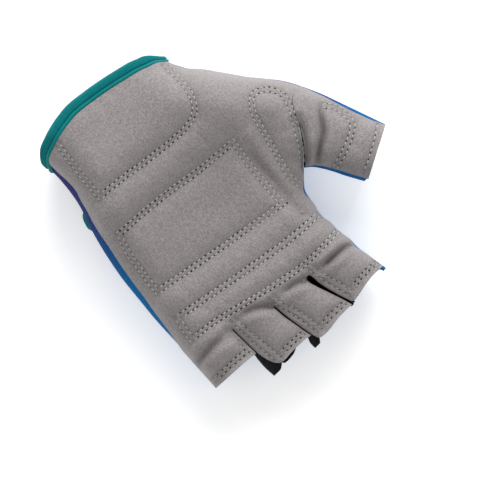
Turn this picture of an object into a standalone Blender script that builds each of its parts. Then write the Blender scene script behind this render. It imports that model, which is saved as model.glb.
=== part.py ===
"""Left half-finger sailing glove, lying on its back with the palm up.

+Z leaves the palm, +Y runs to the fingers and -X to the thumb. Plan points are in millimetres from the
middle of the wrist's stitched edge. PLAN_SHIFT moves them to the origin, the middle of the footprint.

The glove is one rolled skin: a palm side and a back side that meet at its outline. Every sewn piece is
a layer of that skin, over its own patch of the plan and between two depths under the surface.
"""
import math

import bmesh
import bpy
import numpy as np

MM = 0.001
PLAN_SHIFT = (14.6, -55.9)

# Cloth, in millimetres
PALM_CLOTH = 1.6
BACK_CLOTH = 1.4
FOURCHETTE_CLOTH = 1.2
PAD_FOAM = 2.0
PAD_GAP = 0.8
SEAM_GAP = 0.4
EDGE_INSET = 0.002
FOURCHETTE_REACH = 0.55

# Wrist
CUFF_LEFT_Y, CUFF_RIGHT_Y = 1.7, 0.8
CUFF_CREST_X = 7.0
CUFF_DIP_PALM, CUFF_DIP_BACK = 8.8, 3.5
BINDING_WIDTH = 5.2
BINDING_PROUD = 0.4
BINDING_THICK = 2.2

# Outline, as tables of (y, x)
THUMB_SIDE = [(-16, -32.8), (2, -31.9), (10, -35), (16, -40), (23, -45), (30, -50), (36, -55), (43, -60),
              (55, -66), (66, -70), (83, -76)]
THUMB_INNER = [(72, -40.5), (74, -43), (80, -47), (86, -50), (93.3, -54)]
WEB_SIDE = [(72, -40.5), (75.5, -37), (79.5, -34.2), (86, -33.2), (95, -32.7), (105, -33.3), (124, -35.5)]
LITTLE_SIDE = [(-16, 32.4), (3, 31.8), (10, 32), (21, 33.6), (29, 37), (42, 40.5), (60, 43.3), (78, 44.7),
               (90, 45.6), (105, 46.4), (110, 46.8)]

# Heights, as tables of (y, z): palm skin, outline and back skin
CROWN = [(-16, 38.5), (0, 40), (14, 41), (30, 37.5), (45, 32.5), (60, 30), (75, 29), (90, 28.5),
         (100, 27.5), (107, 26.3), (125, 24)]
WAIST = [(-16, 21), (15, 20), (40, 15), (60, 12.5), (90, 12.5), (105, 14), (125, 14.5)]
FLOOR = [(-16, 5.2), (42, 4.8), (56, 0), (88, 0), (100, 1.5), (107, 3), (125, 5)]
ROLL = [(-16, 16.5), (60, 15), (85, 14), (100, 10.5), (105, 9.3), (125, 9)]
THUMB_LIFT = 7.0
THUMB_ROLL = 11.5
THENAR_BULGE, THENAR_AT, THENAR_SPREAD = 6.0, (-43, 39), 15.0

# Flex lines: left and right end of each finger's root, then of its hem
FINGERS = {
    "index": ((-33.0, 102.2), (-12.5, 106.3), (-35.4, 123.6), (-16.1, 124.2)),
    "middle": ((-10.1, 102.1), (5.9, 104.9), (-14.6, 124.4), (3.2, 125.0)),
    "ring": ((8.1, 100.0), (24.15, 101.3), (4.8, 121.2), (23.2, 119.8)),
    "little": ((25.85, 97.0), (46.0, 97.0), (25.3, 110.8), (46.7, 109.8)),
}
THUMB_CREASE = ((-62.6, 48.0), (-40.7, 71.6))
THUMB_HEM = ((-76.0, 83.0), (-54.0, 93.3))
CROTCH = (-40.5, 71.7)

# Strap under the wrist
STRAP_Y = (17.0, 36.0)
STRAP_ROOT_X = (-21.0, -12.2)
STRAP_START_X = -11.9
STRAP_END_ROLL = 5.7
TAB_ROLL = (5.3, 2.0)
TAB_Y = (22.8, 31.4)
HOOK_X, HOOK_Y = (3.0, 25.0), (19.5, 33.5)
LOOP_X, LOOP_Y = (-4.0, 27.0), (19.0, 34.0)
LOOP_LAYER = (-0.4, -1.2)
HOOK_LAYER = (-1.5, -2.3)
STRAP_LAYER = (-2.6, -3.8)
TAB_LAYER = (-2.5, -4.2)

# Mesh
LOWER_ROWS, UPPER_ROWS, THENAR_COLUMNS = 11, 8, 6
FINGER_COLUMNS, FINGER_ROWS = 4, 4

SUEDE = ("suede", (0.318, 0.296, 0.287), 0.9)
NAVY_STRETCH = ("navy_stretch", (0.03, 0.06, 0.24), 0.6)
BLUE_STRETCH = ("blue_stretch", (0.0, 0.16, 0.40), 0.6)
TEAL_ELASTIC = ("teal_elastic", (0.012, 0.22, 0.22), 0.6)
BLACK_STRETCH = ("black_stretch", (0.012, 0.01, 0.011), 0.7)
FOAM = ("foam", (0.5, 0.5, 0.48), 0.9)
HOOK_TAPE = ("hook_tape", (0.02, 0.02, 0.022), 0.6)
LOOP_TAPE = ("loop_tape", (0.03, 0.03, 0.034), 1.0)


def clear_scene():
    for thing in list(bpy.data.objects):
        bpy.data.objects.remove(thing)


def smooth_table(table, values):
    """Read (key, value) pairs as a smooth curve that never overshoots its points."""
    keys, outs = np.array(table, dtype=float).T
    secants = np.diff(outs) / np.diff(keys)
    slopes = np.zeros(len(keys))
    slopes[0], slopes[-1] = secants[0], secants[-1]
    before, after = secants[:-1], secants[1:]
    turning = before * after <= 0
    total = np.where(turning, 1.0, before + after)
    slopes[1:-1] = np.where(turning, 0.0, 2 * before * after / total)
    values = np.clip(np.asarray(values, dtype=float), keys[0], keys[-1])
    i = np.clip(np.searchsorted(keys, values) - 1, 0, len(keys) - 2)
    step = keys[i + 1] - keys[i]
    t = (values - keys[i]) / step
    rise = outs[i + 1] - outs[i]
    bend = slopes[i] * step * t * (1 - t) ** 2 - slopes[i + 1] * step * t ** 2 * (1 - t)
    return outs[i] + rise * t * t * (3 - 2 * t) + bend


def edge_point(table, y):
    return np.array([float(smooth_table(table, y)), y])


def sample_edge(table, low, high, step=0.5):
    ys = np.linspace(low, high, int((high - low) / step) + 1)
    return np.stack([smooth_table(table, ys), ys], axis=1)


def outline_segments():
    """Every edge of the plan: the outer sides, the thumb's fork and the slits between the fingers."""
    lines = [
        sample_edge(THUMB_SIDE, -16, 83),
        sample_edge(THUMB_INNER, 72, 93.3),
        sample_edge(WEB_SIDE, 72, 124),
        sample_edge(LITTLE_SIDE, -16, 110),
    ]
    names = list(FINGERS)
    for name, following in zip(names[:-1], names[1:]):
        lines.append(np.array([FINGERS[name][3], FINGERS[name][1], FINGERS[following][0],
                               FINGERS[following][2]], dtype=float))
    starts = np.concatenate([line[:-1] for line in lines])
    ends = np.concatenate([line[1:] for line in lines])
    return starts, ends


SEGMENT_STARTS, SEGMENT_ENDS = outline_segments()


def nearest_edge(points):
    """Distance from each plan point to the outline, and the direction away from it."""
    span = SEGMENT_ENDS - SEGMENT_STARTS
    reach = points[:, None, :] - SEGMENT_STARTS[None]
    along = np.clip((reach * span).sum(axis=2) / (span ** 2).sum(axis=1), 0, 1)
    gaps = reach - along[:, :, None] * span
    lengths = np.linalg.norm(gaps, axis=2)
    best = lengths.argmin(axis=1)
    rows = np.arange(len(points))
    distance = lengths[rows, best]
    return distance, gaps[rows, best] / np.maximum(distance, 1e-9)[:, None]


def smooth_step(values):
    t = np.clip(values, 0, 1)
    return t * t * (3 - 2 * t)


def skin(plan, side, depth):
    """Points of the glove's skin over plan points, moved into the glove by depth."""
    plan = np.asarray(plan, dtype=float)
    points = plan.reshape(-1, 2)
    x, y = points.T
    distance, inward = nearest_edge(points)
    thumb = smooth_step((-38 - x) / 24)
    roll = smooth_table(ROLL, y) * (1 - thumb) + THUMB_ROLL * thumb
    across = 1 - np.clip(distance / roll, 0, 1)
    rise = np.sqrt(1 - across ** 2)
    waist = smooth_table(WAIST, y) + 0.7 * THUMB_LIFT * thumb
    if side == "palm":
        away = ((x - THENAR_AT[0]) ** 2 + (y - THENAR_AT[1]) ** 2) / (2 * THENAR_SPREAD ** 2)
        height = smooth_table(CROWN, y) + THENAR_BULGE * np.exp(-away) - waist
        z = waist + height * rise - rise * depth
    else:
        height = smooth_table(FLOOR, y) + THUMB_LIFT * thumb - waist
        z = waist + height * rise + rise * depth
    moved = points + inward * (across * depth)[:, None]
    return np.column_stack([moved, z]).reshape(plan.shape[:-1] + (3,))


def even(count):
    return np.linspace(0, 1, count + 1)


def eased(count):
    """Fractions that crowd towards both ends, where the skin rolls over its edge."""
    return (1 - np.cos(np.pi * even(count))) / 2


def line(start, end, fractions):
    start, end = np.array(start, dtype=float), np.array(end, dtype=float)
    return start + (end - start) * np.asarray(fractions)[:, None]


def inset_ends(row, left, right):
    """Start and end a row a little inside its own ends."""
    row = row.copy()
    direction = (row[-1] - row[0]) / np.linalg.norm(row[-1] - row[0])
    row[0] += direction * left
    row[-1] -= direction * right
    return row


def cuff_y(x, dip):
    left, right = THUMB_SIDE[1][1], LITTLE_SIDE[1][1]
    half = np.where(x < CUFF_CREST_X, CUFF_CREST_X - left, right - CUFF_CREST_X)
    side = CUFF_LEFT_Y + (CUFF_RIGHT_Y - CUFF_LEFT_Y) * (x - left) / (right - left)
    return side - dip * (1 - np.minimum(((x - CUFF_CREST_X) / half) ** 2, 1))


def finger_root_row():
    """The palm's last row: each finger's flex line in turn, with a point at the foot of each slit."""
    row = []
    names = list(FINGERS)
    for number, name in enumerate(names):
        left, right = FINGERS[name][:2]
        if number:
            step = (np.array(FINGERS[names[number - 1]][1]) + np.array(left)) / 2
            row.append(step - (0, 0.3))
        part = line(left, right, eased(FINGER_COLUMNS))
        row.extend(inset_ends(part, EDGE_INSET, EDGE_INSET))
    return np.array(row)


def lower_rows(dip, columns):
    """Rows from the wrist to the thumb's flex line on one side and the fork's level on the other."""
    rows = []
    sag = 0
    for v in even(LOWER_ROWS):
        left = edge_point(THUMB_SIDE, CUFF_LEFT_Y + (THUMB_CREASE[0][1] - CUFF_LEFT_Y) * v)
        right = edge_point(LITTLE_SIDE, CUFF_RIGHT_Y + (71 - CUFF_RIGHT_Y) * v)
        knee = np.array([-18.0, CUFF_LEFT_Y]) * (1 - v) + np.array(CROTCH) * v
        thenar = line(left, knee, 1 - np.cos(np.pi / 2 * even(THENAR_COLUMNS)))
        palm = line(knee, right, eased(columns))
        row = np.concatenate([thenar, palm[1:]])
        if not rows:
            sag = cuff_y(row[:, 0], dip) - row[:, 1]
        row[:, 1] += (1 - v) ** 2 * sag
        rows.append(inset_ends(row, EDGE_INSET, EDGE_INSET))
    return rows


def upper_rows(first):
    """Rows from the fork to the roots of the fingers."""
    last = finger_root_row()
    rows = []
    for w in even(UPPER_ROWS)[1:]:
        u = np.linspace(0, 1, len(last))[:, None]
        left = edge_point(WEB_SIDE, CROTCH[1] + (last[0, 1] - CROTCH[1]) * w)
        right = edge_point(LITTLE_SIDE, first[-1, 1] + (last[-1, 1] - first[-1, 1]) * w)
        straight = first * (1 - w) + last * w
        row = straight + (1 - u) * (left - straight[0]) + u * (right - straight[-1])
        rows.append(inset_ends(row, EDGE_INSET, EDGE_INSET))
    return rows


def grid_faces(rows, columns, first=0):
    """Quads of a grid whose vertices run row by row."""
    faces = []
    for row in range(rows - 1):
        for column in range(columns - 1):
            a = first + row * columns + column
            faces.append((a, a + 1, a + columns + 1, a + columns))
    return faces


def close_layer(points_out, points_in, faces):
    """Join an outer and an inner copy of the same faces with a rim along their open edges."""
    count = len(points_out)
    edges = {}
    for face in faces:
        for a, b in zip(face, face[1:] + face[:1]):
            edges[(a, b)] = edges.get((a, b), 0) + 1
    rims = [(b, a, a + count, b + count) for a, b in edges if (b, a) not in edges]
    inner = [tuple(index + count for index in reversed(face)) for face in faces]
    return list(points_out) + list(points_in), list(faces) + inner + rims


def make_material(finish):
    name, colour, roughness = finish
    material = bpy.data.materials.get(name) or bpy.data.materials.new(name)
    material.use_nodes = True
    shader = material.node_tree.nodes["Principled BSDF"]
    shader.inputs["Base Color"].default_value = (*colour, 1)
    shader.inputs["Roughness"].default_value = roughness
    shader.inputs["Metallic"].default_value = 0
    return material


def add_piece(name, points, faces, finish, pivot):
    """One closed body whose origin is its joint's pivot, or the frame's origin when it is fixed."""
    shift = np.array([*PLAN_SHIFT, 0])
    vertices = (np.array(points) + shift - pivot) * MM
    mesh = bpy.data.meshes.new(name)
    mesh.from_pydata([tuple(v) for v in vertices], [], faces)
    shape = bmesh.new()
    shape.from_mesh(mesh)
    loose = [vertex for vertex in shape.verts if not vertex.link_faces]
    bmesh.ops.delete(shape, geom=loose, context="VERTS")
    bmesh.ops.recalc_face_normals(shape, faces=shape.faces)
    if shape.calc_volume(signed=True) < 0:
        bmesh.ops.reverse_faces(shape, faces=shape.faces)
    shape.to_mesh(mesh)
    shape.free()
    mesh.shade_smooth()
    mesh.set_sharp_from_angle(angle=math.radians(50))
    mesh.materials.append(make_material(finish))
    piece = bpy.data.objects.new(name, mesh)
    piece.location = tuple(np.array(pivot) * MM)
    bpy.data.collections["sailing_glove"].objects.link(piece)
    return piece


FIXED = (0.0, 0.0, 0.0)


def add_layer(name, plan, side, depths, finish, pivot=FIXED):
    """A sewn piece over a plan grid, from the first depth under the skin to the second."""
    plan = np.asarray(plan)
    rows, columns = plan.shape[:2]
    outer = skin(plan, side, depths[0]).reshape(-1, 3)
    inner = skin(plan, side, depths[1]).reshape(-1, 3)
    points, faces = close_layer(outer, inner, grid_faces(rows, columns))
    return add_piece(name, points, faces, finish, pivot)


def add_hand_panel(name, side, dip, cloth, finish):
    """The hand's palm or back panel: the grid below the fork, then the narrower grid above it."""
    columns = len(finger_root_row()) - 1
    lower = lower_rows(dip, columns)
    upper = upper_rows(lower[-1][THENAR_COLUMNS:])
    plan = np.concatenate(lower + upper)
    outer = skin(plan, side, 0)
    inner = skin(plan, side, cloth)
    width = THENAR_COLUMNS + columns + 1
    faces = grid_faces(len(lower), width)
    first_upper = len(lower) * width
    joint_row = first_upper - (columns + 1)
    faces += grid_faces(len(upper) + 1, columns + 1, joint_row)
    points, faces = close_layer(outer, inner, faces)
    return add_piece(name, points, faces, finish, FIXED)


def add_binding():
    """The folded elastic round the wrist, as a band that runs all the way round its edge."""
    loop = []
    fractions = eased(16)
    for side, dip in (("palm", CUFF_DIP_PALM), ("back", CUFF_DIP_BACK)):
        steps = fractions if side == "palm" else fractions[::-1][1:-1]
        for t in steps:
            left, right = THUMB_SIDE[1][1] + EDGE_INSET * 4, LITTLE_SIDE[1][1] - EDGE_INSET * 4
            x = left + (right - left) * t
            y = float(cuff_y(np.array(x), dip)) - SEAM_GAP
            ring = []
            for reach, depth in ((0, -BINDING_PROUD), (0, BINDING_THICK - BINDING_PROUD),
                                 (BINDING_WIDTH, BINDING_THICK - BINDING_PROUD),
                                 (BINDING_WIDTH, -BINDING_PROUD)):
                low = y - reach
                scale = (float(smooth_table(LITTLE_SIDE, low)) - float(smooth_table(THUMB_SIDE, low)))
                x_here = float(smooth_table(THUMB_SIDE, low)) + scale * (x - THUMB_SIDE[1][1]) / (
                    LITTLE_SIDE[1][1] - THUMB_SIDE[1][1])
                ring.append(skin(np.array([[x_here, low]]), side, depth)[0])
            loop.append(ring)
    points = [point for ring in loop for point in ring]
    faces = []
    for i in range(len(loop)):
        j = (i + 1) % len(loop)
        for a in range(4):
            b = (a + 1) % 4
            faces.append((4 * i + a, 4 * i + b, 4 * j + b, 4 * j + a))
    return add_piece("cuff_binding", points, faces, TEAL_ELASTIC, FIXED)


def patch(corners, rows, columns):
    """A grid between four plan corners: near left, near right, far right, far left."""
    near = line(corners[0], corners[1], even(columns))
    far = line(corners[3], corners[2], even(columns))
    return [near * (1 - v) + far * v for v in even(rows)]


def add_pads():
    under = PALM_CLOTH + PAD_GAP
    layer = (under, under + PAD_FOAM)
    add_layer("heel_pad", patch(((-25, 1.5), (20.5, -1), (23, 21.5), (-23.5, 24.5)), 5, 7), "palm", layer,
              FOAM)
    add_layer("centre_pad", patch(((-25, 46), (30, 40), (35, 64.5), (-22.5, 75)), 5, 7), "palm", layer,
              FOAM)
    add_layer("knuckle_pad", patch(((-27, 90.5), (37.5, 80.5), (37.5, 87.5), (-27, 98.5)), 2, 9), "palm",
              layer, FOAM)
    add_layer("web_pad", patch(((-52, 45.5), (-44, 41), (-36.5, 67), (-42.5, 64.5)), 5, 3), "palm", layer,
              FOAM)


def add_strap(strap_pivot):
    """The wrist strap on the back: sewn root, loose strap, its hook and loop faces and its pull tab."""
    ys = np.linspace(*STRAP_Y, 5)
    root = [[(x, y) for x in np.linspace(*STRAP_ROOT_X, 4)] for y in ys]
    add_layer("strap_root", root, "back", (LOOP_LAYER[0], STRAP_LAYER[1]), NAVY_STRETCH)
    fractions = np.sin(np.pi / 2 * even(10))
    strap = []
    for y in ys:
        end = edge_point(LITTLE_SIDE, y)[0] - STRAP_END_ROLL
        strap.append(line((STRAP_START_X, y), (end, y), fractions))
    add_layer("wrist_strap", strap, "back", STRAP_LAYER, NAVY_STRETCH, strap_pivot)
    hook = [[(x, y) for x in np.linspace(*HOOK_X, 7)] for y in np.linspace(*HOOK_Y, 4)]
    add_layer("hook_patch", hook, "back", HOOK_LAYER, HOOK_TAPE, strap_pivot)
    loop = [[(x, y) for x in np.linspace(*LOOP_X, 9)] for y in np.linspace(*LOOP_Y, 4)]
    add_layer("loop_patch", loop, "back", LOOP_LAYER, LOOP_TAPE)
    tab = []
    for y in np.linspace(*TAB_Y, 3):
        edge = edge_point(LITTLE_SIDE, y)[0]
        tab.append(line((edge - TAB_ROLL[0], y), (edge - TAB_ROLL[1], y), even(4)))
    add_layer("pull_tab", tab, "back", TAB_LAYER, TEAL_ELASTIC, strap_pivot)


def stall_rows(left, right, insets, columns, rows):
    """Rows across a stall, from its flex line to its hem, between its two side lines."""
    grid = []
    for v in even(rows):
        start = left(v)
        end = right(v)
        row = line(start, end, eased(columns))
        grid.append(inset_ends(row, *insets))
    return grid


def side_line(start, end):
    start, end = np.array(start, dtype=float), np.array(end, dtype=float)
    direction = (end - start) / np.linalg.norm(end - start)
    first = start + direction * SEAM_GAP
    return lambda v: first + (end - first) * v


def side_edge(table, low, high):
    return lambda v: edge_point(table, low + SEAM_GAP + (high - low - SEAM_GAP) * v)


def add_fourchette(name, side, inward, pivot):
    """A stall's side wall, rolled from the palm side round to the back side."""
    reaches = (FOURCHETTE_REACH, 0.2, EDGE_INSET)
    columns = [("palm", reach) for reach in reaches] + [("back", reach) for reach in reaches[-2::-1]]
    outer, inner = [], []
    for v in even(FINGER_ROWS):
        for face, reach in columns:
            point = np.array([side(v) + np.array((inward * reach, 0))])
            outer.append(skin(point, face, 0)[0])
            inner.append(skin(point, face, FOURCHETTE_CLOTH)[0])
    points, faces = close_layer(outer, inner, grid_faces(FINGER_ROWS + 1, len(columns)))
    return add_piece(name, points, faces, BLACK_STRETCH, pivot)


def finger_sides(name):
    """A finger's two side lines, with whether each one borders a slit."""
    root_left, root_right, hem_left, hem_right = FINGERS[name]
    left = side_line(root_left, hem_left)
    right = side_line(root_right, hem_right)
    left_slit, right_slit = name != "index", name != "little"
    if not left_slit:
        left = side_edge(WEB_SIDE, root_left[1], hem_left[1])
    if not right_slit:
        right = side_edge(LITTLE_SIDE, root_right[1], hem_right[1])
    return left, right, left_slit, right_slit


def add_finger(name, pivot):
    left, right, left_slit, right_slit = finger_sides(name)
    wall = FOURCHETTE_REACH + 0.13
    insets = (wall if left_slit else EDGE_INSET, wall if right_slit else EDGE_INSET)
    plan = stall_rows(left, right, insets, FINGER_COLUMNS, FINGER_ROWS)
    add_layer(f"{name}_palm_face", plan, "palm", (0, PALM_CLOTH), SUEDE, pivot)
    add_layer(f"{name}_back_face", plan, "back", (0, BACK_CLOTH), BLUE_STRETCH, pivot)
    if left_slit:
        add_fourchette(f"{name}_fourchette_thumb_side", left, 1, pivot)
    if right_slit:
        add_fourchette(f"{name}_fourchette_little_side", right, -1, pivot)


def add_thumb(pivot):
    left = side_edge(THUMB_SIDE, THUMB_CREASE[0][1], THUMB_HEM[0][1])
    right = side_edge(THUMB_INNER, 72, THUMB_HEM[1][1])
    plan = stall_rows(left, right, (EDGE_INSET, EDGE_INSET), 8, 6)
    add_layer("thumb_palm_face", plan, "palm", (0, PALM_CLOTH), SUEDE, pivot)
    add_layer("thumb_back_face", plan, "back", (0, BACK_CLOTH), BLUE_STRETCH, pivot)
    under = PALM_CLOTH + PAD_GAP
    add_layer("thumb_pad", patch(((-63.5, 63), (-48.5, 74.5), (-51, 80.5), (-66, 74.5)), 3, 5), "palm",
              (under, under + PAD_FOAM), FOAM, pivot)


def add_slit_gusset(number, name, following):
    """The folded black web that closes the foot of the slit between two fingers."""
    near = (np.array(FINGERS[name][1]) + np.array(FINGERS[following][0])) / 2
    far = (np.array(FINGERS[name][3]) + np.array(FINGERS[following][2])) / 2
    along = (far - near) / np.linalg.norm(far - near)
    start_y = max(FINGERS[name][1][1], FINGERS[following][0][1]) + 0.4
    start = near + along * (start_y - near[1])
    centre = start + along * 1.6
    waist = float(smooth_table(WAIST, centre[1]))
    block = bmesh.new()
    bmesh.ops.create_cube(block, size=1.0)
    across = np.array([along[1], -along[0]])
    corners = []
    for vertex in block.verts:
        flat = centre + across * vertex.co.x * 0.8 + along * vertex.co.y * 3.2
        corners.append((flat[0], flat[1], waist + vertex.co.z * 8.0))
    faces = [tuple(vertex.index for vertex in face.verts) for face in block.faces]
    block.free()
    add_piece(f"slit_gusset_{number}", corners, faces, BLACK_STRETCH, FIXED)


def flex_pivot(left, right):
    """The middle of a flex line, at the highest point of the palm skin along it."""
    along = line(left, right, even(12)[1:-1])
    top = skin(along, "palm", 0)[:, 2].max() + 0.05
    middle = (np.array(left) + np.array(right)) / 2
    return (middle[0] + PLAN_SHIFT[0], middle[1] + PLAN_SHIFT[1], top)


def strap_axis():
    middle_y = sum(STRAP_Y) / 2
    bottom = skin(np.array([[STRAP_START_X, middle_y]]), "back", STRAP_LAYER[1])[0, 2]
    return (STRAP_START_X + PLAN_SHIFT[0], middle_y + PLAN_SHIFT[1], bottom - 0.05)


def main():
    clear_scene()
    glove = bpy.data.collections.new("sailing_glove")
    bpy.context.scene.collection.children.link(glove)
    add_hand_panel("palm_panel", "palm", CUFF_DIP_PALM, PALM_CLOTH, SUEDE)
    add_hand_panel("back_panel", "back", CUFF_DIP_BACK, BACK_CLOTH, NAVY_STRETCH)
    add_binding()
    add_pads()
    add_strap(strap_axis())
    for name, (left, right, _, _) in FINGERS.items():
        add_finger(name, flex_pivot(left, right))
    add_thumb(flex_pivot(*THUMB_CREASE))
    names = list(FINGERS)
    for number, (name, following) in enumerate(zip(names[:-1], names[1:]), start=1):
        add_slit_gusset(number, name, following)


main()
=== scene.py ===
"""Looks of a left half-finger sailing glove: quilted suede palm, stretch back, elastic binding and strap."""
import math

import bpy
import numpy as np
from mathutils import Matrix, Vector

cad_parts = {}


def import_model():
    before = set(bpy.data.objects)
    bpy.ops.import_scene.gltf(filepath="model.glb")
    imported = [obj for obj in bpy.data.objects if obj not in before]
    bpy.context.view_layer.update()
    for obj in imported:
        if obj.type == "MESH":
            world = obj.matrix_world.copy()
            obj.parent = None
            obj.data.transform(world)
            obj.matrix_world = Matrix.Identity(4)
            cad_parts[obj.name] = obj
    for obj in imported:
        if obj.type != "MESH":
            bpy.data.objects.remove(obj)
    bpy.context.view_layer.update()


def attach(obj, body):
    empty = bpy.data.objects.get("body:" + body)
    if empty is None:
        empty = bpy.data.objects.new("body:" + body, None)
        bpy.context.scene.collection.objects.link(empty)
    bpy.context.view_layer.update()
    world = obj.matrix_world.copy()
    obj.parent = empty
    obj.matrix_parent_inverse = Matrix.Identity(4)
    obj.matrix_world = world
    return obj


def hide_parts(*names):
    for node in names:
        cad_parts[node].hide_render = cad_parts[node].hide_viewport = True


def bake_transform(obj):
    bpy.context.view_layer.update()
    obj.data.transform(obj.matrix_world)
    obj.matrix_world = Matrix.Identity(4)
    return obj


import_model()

MM = 0.001
PLAN_SHIFT = np.array([14.6, -55.9])
BODY = "glove_body"

# Outline, as tables of (y, x), and heights, as tables of (y, z), in millimetres from the wrist's middle
THUMB_SIDE = [(-16, -32.8), (2, -31.9), (10, -35), (16, -40), (23, -45), (30, -50), (36, -55), (43, -60),
              (55, -66), (66, -70), (83, -76), (90, -78.5)]
THUMB_INNER = [(72, -40.5), (74, -43), (80, -47), (86, -50), (93.3, -54), (98, -56.5)]
WEB_SIDE = [(72, -40.5), (75.5, -37), (79.5, -34.2), (82.5, -33.7), (85.5, -33.3), (88.5, -32.4),
            (91.5, -32.1), (95, -32.7), (98.5, -32.5), (102, -32.9), (105.5, -33.5), (109, -33.3),
            (115, -34.2), (124, -35.5), (128, -36)]
LITTLE_SIDE = [(-16, 32.4), (3, 31.8), (10, 32.2), (15, 32.8), (20, 33.9), (29, 37.1), (42, 40.5), (60, 43.3),
               (78, 44.7), (85, 45.1), (90, 45.6), (105, 46.4), (114, 47)]
# Both edges of each slit between two stalls, named by stall and by the side they face
SLIT_EDGES = {
    ("index", "little"): [(104, -11.8), (105.5, -12.1), (108, -12.2), (112, -12.9), (118, -14.5),
                          (123.5, -16.3), (128, -17.5)],
    ("middle", "thumb"): [(104, -9.9), (105.5, -9.6), (109, -10.5), (114, -12.2), (119.5, -14.1),
                          (124, -15.4), (128, -16.4)],
    ("middle", "little"): [(102.6, 6.9), (108, 6.5), (113, 5.8), (118, 5.0), (121.5, 4.3), (124.5, 3.3),
                           (127, 2.4)],
    ("ring", "thumb"): [(102.6, 7.5), (108, 7.2), (113, 6.35), (118, 5.5), (121.5, 4.85), (126, 4.2)],
    ("ring", "little"): [(97.4, 25.15), (108, 25.1), (113, 24.7), (117, 23.7), (119.3, 22.5), (120.8, 20.9),
                         (124, 18.9)],
    ("little", "thumb"): [(97.4, 25.5), (104, 25.5), (111, 25.4), (116, 25.3)],
}
# Where each stall's side wall stands at half its height, beyond which it leaves its neighbour free
WALL_MIDDLE = {
    ("index", "little"): [(104, -10.95), (112, -12.45), (118.5, -14.45), (124, -16.1), (127, -16.9)],
    ("middle", "thumb"): [(104, -10.75), (112, -12.25), (118.5, -14.25), (124, -15.9), (127, -16.7)],
    ("middle", "little"): [(102.6, 7.1), (108, 6.78), (119, 5.15), (121.7, 6.6), (124, 7.3), (128, 7.2)],
    ("ring", "thumb"): [(102.6, 7.28), (108, 6.93), (119, 5.3), (125, 4.5)],
    ("ring", "little"): [(97.4, 25.26), (109.5, 25.24), (112.2, 26.5), (118, 27.0), (124, 26.6)],
    ("little", "thumb"): [(97.4, 25.4), (112, 25.35)],
}
CROWN = [(-16, 38.5), (0, 40), (14, 41), (30, 37.5), (45, 32.5), (60, 30), (75, 29), (90, 28.5),
         (100, 27.5), (107, 26.3), (125, 24)]
WAIST = [(-16, 21), (15, 20), (40, 15), (60, 12.5), (90, 12.5), (105, 14), (125, 14.5)]
FLOOR = [(-16, 5.2), (42, 4.8), (56, 0), (88, 0), (100, 1.5), (107, 3), (125, 5)]
ROLL = [(-16, 16.5), (60, 15), (85, 14), (100, 11), (125, 10)]
# The thumb lies higher than the hand: its floor by THUMB_LIFT, and its waist by WAIST_LIFT
THUMB_LIFT = 7.0
WAIST_LIFT = 0.7 * THUMB_LIFT
THUMB_ROLL = 11.5
# Soft mounds of the palm: (x, y, height, spread)
MOUNDS = [(-43, 39, 6.0, 15), (22, 27, 1.5, 12), (-4, 59, -1.2, 13), (-22, 96, 0.6, 7), (-2, 95, 0.6, 7),
          (16, 92, 0.6, 7), (35, 88, 0.6, 7)]
# Near a slit the skin rolls in over SLIT_ROLL, down to these shares of its height at the slit's edge
SLIT_ROLL, SLIT_LIFT_PALM, SLIT_LIFT_BACK = 8.5, 0.72, 0.6
# The thumb's own shape fades in towards the thumb's side, from this x and over this width
THUMB_FADE_X, THUMB_FADE_WIDTH = -38, 24
# How far inside the outline the suede stops and the back shows, along each side: tables of (y, gap)
LITTLE_REACH = [(-16, 1.6), (0, 1.6), (5, 1.7), (10, 2.3), (15, 2.6), (20, 2.1), (25, 2.5), (30, 2.6),
                (35, 2.9), (40, 3.2), (50, 2.9), (60, 2.7), (70, 1.9), (80, 1.1), (87, 0.35), (90, 0.2),
                (114, 0.15)]
THUMB_REACH = [(-16, 0.2), (3, 0.25), (8, 0.45), (14, 0.25), (26, 0.25), (32, 0.45), (40, 0.5), (48, 0.55),
               (56, 0.9), (62, 1.2), (70, 1.4), (77, 1.3), (82, 0.7), (90, 0.1)]
INNER_REACH = [(72, 0.9), (75, 1.3), (80, 1.5), (86, 1.7), (98, 1.7)]
WEB_REACH = [(72, 0.25), (75, 0.4), (78.5, 1.1), (83, 0.4), (89, 0.4), (95, 0.25), (104, 0.25), (109, 0.65),
             (113, 0.3), (121, 0.3), (124, 0.15), (128, 0.1)]
NO_REACH = [(-16, 0.03), (128, 0.03)]

CUFF_LEFT_X, CUFF_RIGHT_X = -31.9, 31.8
CUFF_LEFT_Y, CUFF_RIGHT_Y, CUFF_CREST_X = 3.2, 0.8, 7.0
CUFF_DIP_BACK = 3.5
CUFF_PALM = [(-31.9, 3.2), (-30, 1.9), (-27.5, 0.7), (-25, -0.1), (-20, -1.9), (-15, -3.1), (-10, -4.3),
             (0, -6.1), (9, -7.1), (15, -6.5), (20, -5.5), (25, -4.0), (28, -2.8), (30, -1.2), (31.8, 0.8)]

PALM_CLOTH, BACK_CLOTH, WALL_CLOTH = 1.4, 1.1, 0.8
SUEDE_PROUD = 0.25
# The back runs on under the suede's edge: this deep, and this far in the plan
TUCK, OVERLAP = 0.25, 0.4

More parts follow.
